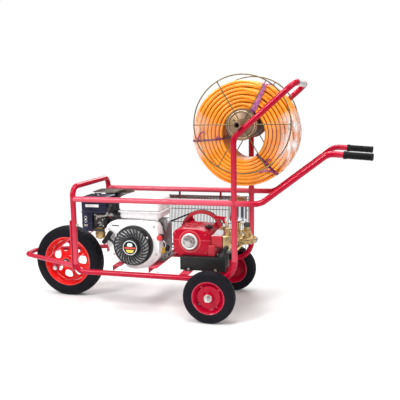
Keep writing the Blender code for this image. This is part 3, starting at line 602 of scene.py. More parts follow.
def winding(sign):
    """The centre line of one hose, wound in layers from the drum outwards."""
    points = []
    turn_steps = 44
    start = radians(100)
    places = []
    for layer in range(LAYERS):
        used = COLUMNS - (1 if layer == LAYERS - 1 else 0)
        order = range(used) if layer % 2 == 0 else range(used - 1, -1, -1)
        places += [(layer, column) for column in order]
    for k, (layer, column) in enumerate(places):
        following = places[min(k + 1, len(places) - 1)]
        for j in range(turn_steps):
            share = j / turn_steps
            step = max(0.0, (share - 0.84) / 0.16)
            step = step * step * (3 - 2 * step)
            lay = layer + (following[0] - layer) * step
            col = column + (following[1] - column) * step
            angle = start + 2 * pi * share
            radius = COIL_IN + HOSE_D * (0.5 + lay)
            out = upright(angle)
            sway = noise.noise(out * 2.3 + Vector((sign * 4, lay * 0.16, col * 0.1)))
            swell = noise.noise(out * 1.7 + Vector((9, lay * 0.13, sign * 3 + col * 0.12)))
            y = sign * (0.0014 + HOSE_D * (0.5 + col)) + 0.0022 * sway * (0.4 + 0.6 * lay / LAYERS)
            points.append(in_coil(angle, radius + 0.0016 * swell * (0.3 + lay / LAYERS), y))
    return points


def make_hoses():
    for side, sign in SIDES:
        points = winding(sign)
        length = sum((b - a).length for a, b in zip(points, points[1:]))
        curve = bpy.data.curves.new(f"hose_{side}", "CURVE")
        curve.dimensions = "3D"
        curve.bevel_depth = HOSE_D / 2
        curve.bevel_resolution = 4
        curve.resolution_u = 1
        curve.use_fill_caps = True
        spline = curve.splines.new("POLY")
        spline.points.add(len(points) - 1)
        for knot, spot in zip(spline.points, points):
            knot.co = (*spot, 1.0)
        curve.materials.append(HOSE)
        hose = placed(f"hose_{side}", curve)
        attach(hose, "hose_reel")
        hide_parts(f"hose_coil_{side}")
        end, run = points[-1], (points[-1] - points[-2]).normalized()
        fitting = Piece(f"hose_coupling_{side}", "hose_reel")
        barb = [(-0.012, 0), (-0.012, 0.0092), (0.01, 0.0092), (0.01, 0.0078), (0.014, 0.0078), (0.014, 0)]
        fitting.add(BRASS, lathe(barb, end, run, 28), hexagon(end + run * 0.012, run, 0.0185, 0.014))
        fitting.add(BRASS, pin(end + run * 0.025, end + run * 0.034, 0.007, 24))
        coupling = fitting.done("brass")
        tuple(points[0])


def coil_section(inner, outer, half, corner, step):
    """The outline of the coil's section as (r, y) pairs no more than about a step apart."""
    section = rounded_outline([(inner, -half), (outer, -half), (outer, half), (inner, half)], corner, 5)
    fine = []
    for k, (r, y) in enumerate(section):
        nr, ny = section[(k + 1) % len(section)]
        parts = max(1, int(hypot(nr - r, ny - y) / step))
        fine += [(r + (nr - r) * j / parts, y + (ny - y) * j / parts) for j in range(parts)]
    return fine


def band(angle, width, lift, phase, name, strap, tails=()):
    """A ribbon tied round the coil's section there. Each tail is (r, reach in x, rise) from its knot."""
    out = upright(angle)
    side = Vector((-sin(angle), 0, cos(angle)))
    half, inner, outer = COIL_HALF + lift, COIL_IN - 0.001 - lift, COIL_IN + HOSE_D * LAYERS + lift
    fine = coil_section(inner, outer, half, 0.014, 0.008)
    shape = bmesh.new()
    rings = []
    count = len(fine)
    for k, (r, y) in enumerate(fine):
        nr, ny = fine[(k + 1) % count]
        pr, py = fine[k - 1]
        along = (out * (nr - pr) + Y * (ny - py)).normalized()
        away = side.cross(along).normalized()
        wave = 0.5 + 0.5 * noise.noise(Vector((k * 0.11, phase, 0)))
        reach = width * (0.36 + 0.3 * wave)
        drift = width * 0.5 * noise.noise(Vector((k * 0.05, phase + 5, 1)))
        base = in_coil(angle, r, y) + side * drift
        crumple = 0.0012 * noise.noise(Vector((k * 0.6, phase, 4)))
        ring = []
        for across_ribbon in (-1, -0.4, 0.4, 1):
            fold = 0.0009 * cos(across_ribbon * 5 + k * 0.5)
            ring.append(shape.verts.new(base + side * reach * across_ribbon - away * (crumple + fold)))
        rings.append(ring)
    skin(shape, rings, around=False)
    bmesh.ops.solidify(shape, geom=list(shape.faces), thickness=0.0007)
    piece = Piece(name, "hose_reel")
    piece.add(strap, shape)
    for r, reach_x, rise in tails:
        knot = in_coil(angle, r, -half - 0.004)
        turns = [knot + (side * cos(s) + out * sin(s)) * 0.0055 - Y * 0.002 * sin(2 * s)
            for s in round_turn(16)]
        piece.add(strap, tube(turns, 0.003, 8, closed=True, flat=0.6))
        tail = [knot + Vector((reach_x, 0,
            rise)) * s + Z * 0.011 * sin(3.3 * s) - Y * (0.002 + 0.005 * sin(3 * s)) for s in [j / 14
            for j in range(15)]]
        piece.add(strap, tube(tail, 0.0013, 8, flat=3.4))
    return piece.done("hose")


def make_film(name, start, end, glint_share):
    """Clear stretch film: nearly unseen, with broken white patches of painted glint that gather towards the
    coil's outside.
    """
    film = surface(name, (1.0, 0.97, 0.93), 0.12, coat=0.6, tint=(1.0, 1.0, 1.0), bump=0.4, bump_scale=120,
        dents=1.0, dent_scale=30)
    graph = Graph(film.node_tree)
    place = next(n for n in graph.nodes if n.type == "TEX_COORD").outputs["Object"]
    from_eye = graph.between("SUBTRACT", place, tuple(COIL))["Vector"]
    flat = graph.between("MULTIPLY", from_eye, (1.0, 0.0, 1.0))["Vector"]
    outward = graph.span(graph.between("LENGTH", flat)["Value"], 0.175, 0.235, 0.0, glint_share)
    heading = graph.between("NORMALIZE", flat)["Vector"]
    middle, reach = (start + end) / 2, (end - start) / 2
    turned = graph.between("DOT_PRODUCT", heading, (cos(middle), 0.0, sin(middle)))["Value"]
    inside = graph.span(turned, cos(reach * 0.98), cos(reach * 0.55), 0.0, 1.0)
    stretched = graph.node("Mapping", {"Vector": place, "Scale": (30.0, 14.0, 13.0)}).outputs["Vector"]
    broken = graph.span(graph.cloud(stretched, 1.0, 4.0), 0.42, 0.6, 0.12, 0.85)
    # painted glint: the white film turns opaque in broken patches towards the coil's outside, standing in for
    # reflections
    painted_glint = graph.reckon("ADD", graph.reckon("MULTIPLY", broken, outward), 0.06)
    graph.put(graph.nodes["Principled BSDF"].inputs["Alpha"], graph.reckon("MULTIPLY", painted_glint, inside))
    return film


def wrap(start, end, name, phase, glint_share):
    """Clear stretch film round part of the coil, wrinkled along its length."""
    shape = bmesh.new()
    lift = 0.0028
    half, inner, outer = COIL_HALF + lift, COIL_IN - lift, COIL_IN + HOSE_D * LAYERS + lift
    fine = coil_section(inner, outer, half, 0.03, 0.009)
    rings = []
    steps = 26
    for s in range(steps + 1):
        ring = []
        for k, (r, y) in enumerate(fine):
            ragged = 0.05 * noise.noise(Vector((k * 0.13, phase, 0))) * (1 if s > steps / 2 else -1)
            angle = start + (end - start) * s / steps + ragged * abs(2 * s / steps - 1)
            middle = (inner + outer) / 2
            puff = 0.0022 * noise.noise(Vector((r * 55, y * 55, angle * 26 + phase)))
            away = Vector((r - middle, y)).normalized() * puff
            ring.append(shape.verts.new(in_coil(angle, r + away.x, y + away.y)))
        rings.append(ring)
    skin(shape, rings, loop=False)
    bmesh.ops.recalc_face_normals(shape, faces=shape.faces)
    piece = Piece(name, "hose_reel")
    piece.add(make_film(name.replace("_", "_wrap_"), start, end, glint_share), shape)
    return piece.done("hose", smooth=60)


def make_hose_ties():
    band(radians(66), 0.021, 0.0014, 1.0, "tie_top", STRAP)
    band(radians(188), 0.009, 0.0014, 2.0, "tie_left", STRAP_DARK, ((0.232, 0.038, 0.048), (0.15, 0.022,
        0.004)))
    band(radians(-50), 0.013, 0.0014, 3.0, "tie_low", STRAP_DARK, ((0.246, -0.082, 0.006), (0.185, 0.02,
        0.022)))
    # The last number sets how strongly the painted glints show on each film.
    wrap(radians(150), radians(212), "film_left", 1.0, 0.45)
    wrap(radians(-44), radians(30), "film_right", 2.0, 1.0)


# ---- frame -----------------------------------------------------------------------------------------
def make_rails():
    post_foot = LOWER_Z + 0.04
    hoop = Piece("hoop")
    route = [((FRONT_X, -FRAME_Y, post_foot), 0), ((FRONT_X, -FRAME_Y, HOOP_Z), 0.05),
        ((FRONT_X, FRAME_Y, HOOP_Z), 0.05), ((FRONT_X, FRAME_Y, post_foot), 0)]
    hoop.add(FRAME_RED, tube(rounded(route), TUBE_R))
    for _, sign in SIDES:
        y = sign * FRAME_Y
        hoop.add(FRAME_RED, saddle((FRONT_X, y, UPPER_Z), X, Z, TUBE_R, TUBE_R, seed=sign))
    hoop.done("frame_red", "front_hoop")
    for side, sign in SIDES:
        y = sign * FRAME_Y
        lower = Piece(f"rail_low_{side}")
        route = [((FRONT_X, y, post_foot), 0), ((FRONT_X, y, LOWER_Z), 0.0397), ((POST_X, y, LOWER_Z),
            0.0997), ((POST_X, y, LOWER_Z + 0.1), 0)]
        lower.add(FRAME_RED, tube(rounded(route), TUBE_R))
        lower.done("frame_red", f"lower_rail_{side}")
        upper = Piece(f"rail_top_{side}")
        upper.add(FRAME_RED, tube([(FRONT_X + 0.004, y, UPPER_Z), (POST_X - 0.004, y, UPPER_Z)], TUBE_R))
        upper.add(FRAME_RED, saddle((POST_X, y, UPPER_Z), -X, Z, TUBE_R, TUBE_R, seed=sign + 3))
        upper.done("frame_red", f"upper_rail_{side}")


def make_posts():
    for side, sign in SIDES:
        y = sign * FRAME_Y
        post = Piece(f"post_{side}")
        route = [((POST_X, y, LOWER_Z + 0.1), 0), ((POST_X, y, POST_BEND_Z), 0.06),
            ((TOP_BAR[0], y, TOP_BAR[1]), 0.045), ((TOP_BAR[0], sign * TOP_BAR_HALF, TOP_BAR[1]), 0)]
        post.add(FRAME_RED, tube(rounded(route), TUBE_R))
        spot = Vector((REEL.x, y, REEL.z))
        bush = [(-0.029, 0.012), (-0.03, 0.0128), (-0.03, 0.0172), (-0.0285, 0.0182), (0.0235, 0.0182),
            (0.025, 0.0172), (0.025, 0.0128), (0.024, 0.012)]
        post.add(BRONZE, lathe(bush, spot, (0, -sign, 0), 40))
        lean = (Vector((TOP_BAR[0], 0, TOP_BAR[1])) - Vector((POST_X, 0, POST_BEND_Z))).normalized()
        off = Vector((lean.z, 0, -lean.x)) * 0.0155
        for shift in (-0.01, 0.01):
            bead = [spot + off + lean * shift + Y * (0.02 * (k / 14 - 0.5) * 2) for k in range(15)]
            sizes = [0.0028 + 0.0007 * sin(k * 2.1) for k in range(15)]
            post.add(FRAME_RED, tube(bead, sizes, 8))
        post.done("frame_red", f"reel_post_{side}")
    bar = Piece("top_bar")
    reach = TOP_BAR_HALF
    bar.add(SILVER_PAINT, tube([(TOP_BAR[0], -reach, TOP_BAR[1]), (TOP_BAR[0], reach, TOP_BAR[1])],
        TUBE_R * 1.01))
    for sign in (-1, 1):
        bar.add(FRAME_RED, weld((TOP_BAR[0], sign * reach, TOP_BAR[1]), Y, TUBE_R, 0.0022, seed=sign))
    bar.done("zinc", "reel_top_bar")


def make_handles():
    run = Vector((HANDLE_END[0] - HANDLE_TOP[0], 0, HANDLE_END[1] - HANDLE_TOP[1])).normalized()
    for side, sign in SIDES:
        y = sign * FRAME_Y
        arm = Piece(f"handle_{side}")
        route = [((POST_X + 0.004, y, UPPER_Z), 0), ((0.44, y, UPPER_Z), 0.09),
            ((HANDLE_TOP[0], y, HANDLE_TOP[1]), 0.07), ((HANDLE_END[0], y, HANDLE_END[1]), 0)]
        arm.add(FRAME_RED, tube(rounded(route), TUBE_R))
        arm.add(FRAME_RED, saddle((POST_X, y, UPPER_Z), X, Z, TUBE_R, TUBE_R, seed=sign + 7))
        arm.done("frame_red", f"handle_tube_{side}")
        grip = Piece(f"grip_rubber_{side}")
        end = Vector((HANDLE_END[0], y, HANDLE_END[1])) + run * 0.006
        profile = [(0.0, 0.0), (0.0, 0.01), (-0.0012, 0.014), (-0.004, 0.0168), (-0.009, 0.017)]
        start = -0.012
        while start > -0.112:
            profile += [(start, 0.0168), (start - 0.0006, 0.0152), (start - 0.0022, 0.0152), (start - 0.0028,
                0.0168)]
            start -= 0.0056
        profile += [(-0.117, 0.0166), (-0.119, 0.0184), (-0.125, 0.0186), (-0.131, 0.0176), (-0.131, 0.0146),
            (-0.131, 0.0)]
        grip.add(GRIP, lathe(profile, end, run, 40))
        grip.done("grip", f"grip_{side}")


def angle_section(x, width, low, high):
    """The (x, z) outline of an angle bar: an upright leg at x and a flat one on top."""
    sheet = 0.004
    return [(x, low), (x + sheet, low), (x + sheet, high - sheet), (x + width, high - sheet), (x + width,
        high), (x, high)]


def make_beams():
    low, top = 0.2166, 0.2447
    for name, x in (("engine_beam_front", -0.332), ("engine_beam_rear", -0.135)):
        beam = Piece(f"{name}_angle")
        beam.add(FRAME_RED, plate(angle_section(x, 0.045, low, top), -0.22, 0.22, bevel=0.0012, segments=2))
        for sign in (-1, 1):
            for edge in (x, x + 0.045):
                bead = [(edge, sign * 0.2055 + 0.0016 * sin(k), low + 0.002 + 0.001 * (k % 2))
                    for k in range(8)]
                beam.add(FRAME_RED, tube([(p[0] - 0.004 + 0.0012 * j, p[1], p[2]) for j,
                    p in enumerate(bead)], 0.0026, 8))
        for y in (-0.055, 0.05):
            beam.add(ZINC, bolt((x + 0.026, y, top - 0.004), -Z, 0.008, stud=0.006))
        beam.done("frame_red", name)
    beam = Piece("pump_beam_angle")
    beam.add(FRAME_RED, plate(angle_section(0.035, 0.045, low, 0.2225), -0.22, 0.22, bevel=0.0012,
        segments=2))
    beam.done("frame_red", "pump_beam_front")
    cheek_out, cheek_in = FRAME_Y - TUBE_R - 0.0003, FRAME_Y - TUBE_R - 0.0053
    outline = [(-cheek_out, 0.108), (-cheek_in, 0.108), (-cheek_in, 0.2175), (cheek_in, 0.2175),
        (cheek_in, 0.108), (cheek_out, 0.108), (cheek_out, low), (FRAME_Y, low), (FRAME_Y, 0.2225),
        (-FRAME_Y, 0.2225), (-FRAME_Y, low), (-cheek_out, low)]
    bracket = Piece("axle_cradle")
    bracket.add(FRAME_RED, plate(outline, 0.181, 0.213, along_x, bevel=0.001, segments=2))
    for sign in (-1, 1):
        bracket.add(FRAME_RED, weld((REAR_AXLE.x, sign * cheek_out, REAR_AXLE.z), Y, 0.0118, 0.002,
            seed=sign))
        bracket.add(FRAME_RED, pin((REAR_AXLE.x, sign * cheek_out, REAR_AXLE.z), (REAR_AXLE.x,
            sign * (cheek_out + 0.026), REAR_AXLE.z), 0.0145, 28))
    bracket.done("frame_red", "axle_bracket")


def make_fork():
    bar_x = FRONT_X - TUBE_R - 0.0003
    root_x = bar_x - 0.0025
    fork = Piece("front_fork_loop")
    route = [((root_x, -FRAME_Y, FORK_Z), 0), ((NOSE_X, -NOSE_HALF, FORK_Z), 0.05),
        ((NOSE_X, NOSE_HALF, FORK_Z), 0.05), ((root_x, FRAME_Y, FORK_Z), 0)]
    fork.add(FRAME_RED, tube(rounded(route), 0.0125))
    share = (FRONT_AXLE.x - root_x) / (NOSE_X - root_x)
    for _, sign in SIDES:
        y = sign * FRAME_Y
        fork.add(FRAME_RED, brick((bar_x - 0.005, y - 0.015, 0.2), (bar_x, y + 0.015, 0.474), 0.0012, 2))
        fork.add(FRAME_RED, saddle((root_x + 0.0025, y, FORK_Z), (NOSE_X - root_x, -sign * 0.165, 0), Z,
            0.0125, 0.004, 0.0024, sign))
        lug_y = sign * (FRAME_Y + (NOSE_HALF - FRAME_Y) * share)
        lug = rounded_outline([(-0.712, 0.18), (-0.672, 0.18), (-0.672, 0.232), (-0.712, 0.232)], 0.014)
        fork.add(FRAME_RED, plate(lug, lug_y - 0.004, lug_y + 0.004, bevel=0.001, segments=2))
        foot_y = sign * (FRAME_Y + (NOSE_HALF - FRAME_Y) * 0.5)
        foot = Vector((root_x + (NOSE_X - root_x) * 0.5, foot_y, FORK_Z + 0.0135))
        top = Vector((bar_x - 0.003, y - sign * 0.008, 0.385))
        fork.add(FRAME_RED, tube([top, foot], 0.003, 14), weld(foot, foot - top, 0.0032, 0.0018, sign))
        fork.add(FRAME_RED, weld(top, foot - top, 0.0032, 0.0018, sign + 2))
        for z in (0.448, 0.285):
            fork.add(ZINC, bolt((bar_x - 0.005, y, z), -X, 0.007))
            if z > 0.4:
                fork.add(ZINC, bolt((FRONT_X + TUBE_R, y, z), X, 0.007, stud=0.006))
    fork.done("frame_red", "front_fork")
    axle = Piece("front_spindle")
    axle.add(ZINC, pin((FRONT_AXLE.x, -0.172, FRONT_AXLE.z), (FRONT_AXLE.x, 0.172, FRONT_AXLE.z), 0.0078, 24,
        0.001))
    for sign in (-1, 1):
        axle.add(ZINC, hexagon((FRONT_AXLE.x, sign * 0.167, FRONT_AXLE.z), Y * sign, 0.026, 0.009))
        axle.add(ZINC, pin((FRONT_AXLE.x, sign * 0.05, FRONT_AXLE.z), (FRONT_AXLE.x, sign * 0.064,
            FRONT_AXLE.z), 0.013, 24))
    axle.done("zinc", "front_axle")


# ---- wheels --------------------------------------------------------------------------------------
def tyre_shape(centre, inner, outer, half, tread, blocks, steps, grooves, depth=0.003):
    """A tyre: ringed side walls and a tread cut by grooves round it and notches at its shoulders."""
    height = outer - inner
    side = [(half * 0.78, inner - 0.002), (half * 0.84, inner + 0.002), (half * 0.86, inner + height * 0.07),
        (half * 0.94, inner + height * 0.16), (half * 0.95, inner + height * 0.19), (half * 0.99,
        inner + height * 0.24), (half, inner + height * 0.42), (half * 0.995, inner + height * 0.58),
        (half * 0.97, inner + height * 0.66), (half * 0.975, inner + height * 0.69), (half * 0.93,
        inner + height * 0.8), (half * 0.86, inner + height * 0.89), (half * 0.76, inner + height * 0.955)]
    count = 30
    top = [(tread * (1 - 2 * k / count), outer - (outer - inner) * 0.035 * (1 - 2 * k / count) ** 2)
        for k in range(count + 1)]
    profile = side + top + [(-a, r) for a, r in reversed(side)]
    shape = bmesh.new()
    rings = []
    for s in range(steps):
        angle = 2 * pi * s / steps
        phase = (s * blocks / steps) % 1.0
        ring = []
        for a, r in profile:
            share = a / tread
            if abs(share) <= 1.0:
                near = min(abs(share - g) for g in grooves)
                notch = abs(share) > 0.62 and phase < 0.3
                if near < 0.07 or notch:
                    r -= depth
            ring.append(shape.verts.new(Vector(centre) + upright(angle) * r + Y * a))
        rings.append(ring)
    skin(shape, rings)
    return squared(shape)


def windowed_disc(centre, y, dish, windows, first, middle_r, half_r, half_turn):
    """A pressed disc with rounded windows, the first at that angle, whose lips stand proud."""
    inner, outer, rings, steps = 0.03, 0.119, 34, 252
    sheet, lip, lip_reach, power = 0.0022, 0.004, 0.3, 3.0

    def in_window(radius, angle):
        """How far a place is from the middle of the nearest window, as a share of its half size."""
        pitch = 2 * pi / windows
        k = round((angle - first) / pitch)
        middle = first + k * pitch
        across_r, across_turn = (radius - middle_r) / half_r, (angle - middle) / half_turn
        share = (abs(across_r) ** power + abs(across_turn) ** power) ** (1 / power)
        return share, across_r, across_turn, middle

    shape = bmesh.new()
    front, rear, hollow = {}, {}, {}
    for i in range(rings + 1):
        for s in range(steps):
            radius, angle = inner + (outer - inner) * i / rings, 2 * pi * s / steps
            share, across_r, across_turn, middle = in_window(radius, angle)
            hollow[i, s] = share < 1
            if 0 < share < 1:
                radius = middle_r + across_r / share * half_r
                angle = middle + across_turn / share * half_turn
            rise = lip * max(0.0, 1 - max(share - 1, 0) / lip_reach) ** 0.6
            spot = Vector(centre) + upright(angle) * radius
            spot.y -= y + dish(radius) + rise
            front[i, s], rear[i, s] = shape.verts.new(spot), shape.verts.new(spot + Y * sheet)
    for i in range(rings):
        for s in range(steps):
            n = (s + 1) % steps
            quad = [(i, s), (i, n), (i + 1, n), (i + 1, s)]
            if all(hollow[q] for q in quad):
                continue
            shape.faces.new([front[q] for q in quad])
            shape.faces.new([rear[q] for q in reversed(quad)])
    loose = [v for v in shape.verts if not v.link_faces]
    bmesh.ops.delete(shape, geom=loose, context="VERTS")
    back_of = {v: rear[key] for key, v in front.items() if v.is_valid}
    for edge in [e for e in shape.edges if len(e.link_faces) == 1]:
        a, b = edge.verts
        if a in back_of and b in back_of:
            shape.faces.new([a, b, back_of[b], back_of[a]])
    return squared(shape)


def make_front_wheel():
    wheel = Piece("front_tyre_rubber", "front_wheel")
    wheel.add(TYRE, tyre_shape(FRONT_AXLE, 0.1335, 0.198, 0.04, 0.029, 44, 264, (-0.45, 0.0, 0.45)))
    wheel.done("tyre", "front_tyre")
    rim = Piece("front_rim_steel", "front_wheel")
    hoop = both_ends([(-0.036, 0.1395), (-0.0375, 0.1375), (-0.0365, 0.1335), (-0.033, 0.131),
        (-0.03, 0.1265), (-0.018, 0.1205)]) + both_ends([(0.034, 0.1375), (0.034, 0.1335), (0.028, 0.1285),
        (0.017, 0.1225)])
    rim.add(RIM_RED, lathe(hoop, FRONT_AXLE, Y, 120))

    def dish(radius):
        share = (radius - 0.03) / 0.089
        return 0.01 * cos(share * pi * 1.1) * (1 - share * 0.3)

    rim.add(RIM_RED, windowed_disc(FRONT_AXLE, 0.002, dish, 7, radians(4), 0.079, 0.0215, radians(16.5)))
    hub = both_ends([(-0.046, 0.009), (-0.046, 0.0225), (-0.044, 0.0245), (-0.018, 0.0255), (-0.014, 0.031)])
    rim.add(RIM_RED, lathe(hub, FRONT_AXLE, Y, 56))
    for sign in (-1, 1):
        seal = [(sign * 0.0455, 0.009), (sign * 0.0485, 0.01), (sign * 0.0485, 0.0185), (sign * 0.0455,
            0.0205)]
        rim.add(BLACK, lathe(seal, FRONT_AXLE, Y, 48))
    stem_at = FRONT_AXLE + Vector((-0.104, -0.01, -0.052))
    inward = (FRONT_AXLE - stem_at)
    inward.y = -0.03
    inward.normalize()
    stem = [(-0.012, 0), (-0.012, 0.0052), (0.006, 0.0046), (0.007, 0.0036), (0.026, 0.0034), (0.027, 0.0044),
        (0.034, 0.0044), (0.035, 0.0038), (0.035, 0)]
    rim.add(ZINC, lathe(stem, stem_at, inward, 20))
    rim.done("rim_red", "front_rim")


REAR_TRACK = 0.272                    # from the cart's middle to a rear wheel's


def make_rear_wheels():
    for side, sign in SIDES:
        centre = REAR_AXLE + Y * sign * REAR_TRACK
        out = Y * sign
        rubber = Piece(f"rear_tyre_rubber_{side}", f"rear_wheel_{side}")
        rubber.add(TYRE, tyre_shape(centre, 0.0795, 0.13, 0.029, 0.021, 36, 216, (-0.36, 0.36), 0.0022))
        rubber.done("tyre", f"rear_tyre_{side}")
        rim = Piece(f"rear_rim_steel_{side}", f"rear_wheel_{side}")
        section = [(0.0245, 0.0815), (0.0262, 0.0822), (0.027, 0.08), (0.0255, 0.0775), (0.0215, 0.0745),
            (0.019, 0.0715), (0.01, 0.069), (0.004, 0.0655), (0.002, 0.062), (0.0045, 0.0585),
            (0.0075, 0.056), (0.0085, 0.05), (0.0068, 0.044), (0.0058, 0.034), (0.0078, 0.028),
            (0.013, 0.024), (0.0225, 0.0222), (0.025, 0.0205), (0.025, 0.0106), (-0.023, 0.0106),
            (-0.023, 0.02), (0.0, 0.0225), (0.003, 0.056), (-0.002, 0.061), (-0.019, 0.069), (-0.024, 0.0775),
            (-0.026, 0.08), (-0.0252, 0.0822), (-0.0235, 0.0815), (-0.017, 0.0735), (0.017, 0.0745)]
        rim.add(FRAME_RED, lathe(section, centre, out, 96))
        for k in range(4):
            angle = radians(90 * k + 38)
            spot = centre + upright(angle) * 0.0615 + out * 0.003
            rim.add(FRAME_RED, lathe([(0, 0), (0, 0.0052), (0.0016, 0.0045), (0.0022, 0)], spot, out, 16))
        valve = centre + Vector((-0.052, 0, -0.038)) + out * 0.006
        rim.add(BLACK, lathe([(0, 0), (0, 0.0048), (0.01, 0.0034), (0.018, 0.0034), (0.018, 0)], valve,
            out + Vector((0.3, 0, 0.25)), 16))
        rim.done("frame_red", f"rear_rim_{side}")
        nut = Piece(f"rear_nut_{side}")
        face = centre + out * 0.0263
        ring = [(0, 0.0106), (0, 0.019), (0.0004, 0.0198), (0.002, 0.0198), (0.0025, 0.0192),
            (0.0025, 0.0106)]
        nut.add(ZINC, lathe(ring, face, out, 40))
        nut.add(ZINC, hexagon(face + out * 0.0022, out, 0.032, 0.0135))
        nut.done("zinc", f"axle_nut_{side}")
    axle = Piece("rear_spindle")
    profile = [(-0.33, 0), (-0.33, 0.0072), (-0.3285, 0.0092)]
    profile += [(-0.326 + 0.002 * k, 0.0098 if k % 2 else 0.0088) for k in range(14)]
    profile += [(-0.296, 0.0099), (0.296, 0.0099)]
    profile += [(0.298 + 0.002 * k, 0.0088 if k % 2 else 0.0098) for k in range(14)]
    profile += [(0.3285, 0.0092), (0.33, 0.0072), (0.33, 0)]
    axle.add(ZINC, lathe(profile, REAR_AXLE, Y, 28))
    axle.done("zinc", "rear_axle")


# ---- reel ----------------------------------------------------------------------------------------
FLANGE_Y, FLANGE_R, HUB_RING_R = 0.1435, 0.2375, 0.0645


def make_reel():
    shaft = Piece("reel_spindle", "hose_reel")
    bore = both_ends([(-0.2465, 0.01), (-0.2465, 0.011), (-0.2455, 0.0115)]) + both_ends([(0.18, 0.01),
        (0.18, 0.001)])
    shaft.add(BRONZE, lathe(bore, REEL, Y, 32))
    shaft.done("dark_steel", "reel_shaft")
    drum = Piece("reel_core", "hose_reel")
    body = both_ends([(-0.139, 0.0118), (-0.139, 0.066), (-0.137, 0.0695), (-0.118, 0.0698), (-0.116, 0.068),
        (-0.112, 0.068), (-0.11, 0.0698)])
    drum.add(DRUM, lathe(body, REEL, Y, 64))
    drum.done("bronze_zinc", "reel_drum")
    for side, sign in SIDES:
        out = Y * sign
        flange = Piece(f"reel_wires_{side}", "hose_reel")
        plane = REEL + out * FLANGE_Y
        # The hub ring takes the paler wire finish: a painted highlight.
        for radius, size, steps, finish in ((FLANGE_R, 0.0031, 160, WIRE), (HUB_RING_R, 0.0026, 72,
                WIRE_HIGHLIGHT)):
            ring = [plane + upright(t) * radius for t in round_turn(steps)]
            flange.add(finish, tube(ring, size, 12, closed=True))
        for k in range(6):
            ray = upright(k * pi / 3)
            flange.add(WIRE, tube([plane + ray * 0.026 - out * 0.001, plane + ray * 0.2368], 0.0026, 12))
            for along, swell, crown in ((0.2355, 0.0034, 0.0041), (HUB_RING_R, 0.003, 0.0038)):
                joint = [(-0.0035, 0), (-0.003, swell), (0.0, crown), (0.003, swell), (0.0035, 0)]
                flange.add(WIRE, lathe(joint, plane + ray * along, ray, 14))
        seat = REEL + out * 0.1393
        disc = [(0, 0.012), (0, 0.0755), (0.0008, 0.0768), (0.0024, 0.0765), (0.003, 0.0735),
            (0.0016, 0.0705), (0.0016, 0.056), (0.0028, 0.0535), (0.0028, 0.035), (0.0042, 0.032),
            (0.0042, 0.0215), (0.009, 0.019), (0.012, 0.018), (0.012, 0.012)]
        flange.add(BRONZE, lathe(disc, seat, out, 72))
        for k in range(3):
            angle = radians(120 * k + 30)
            spot = seat + upright(angle) * 0.045 + out * 0.0028
            flange.add(BRONZE, bolt(spot, out, 0.005))
        flange.done("bronze_zinc", f"reel_flange_{side}")


# ---- belt drive ----------------------------------------------------------------------------------
SMALL_R, LARGE_R = 0.028, 0.118       # where the belt runs on its pulleys


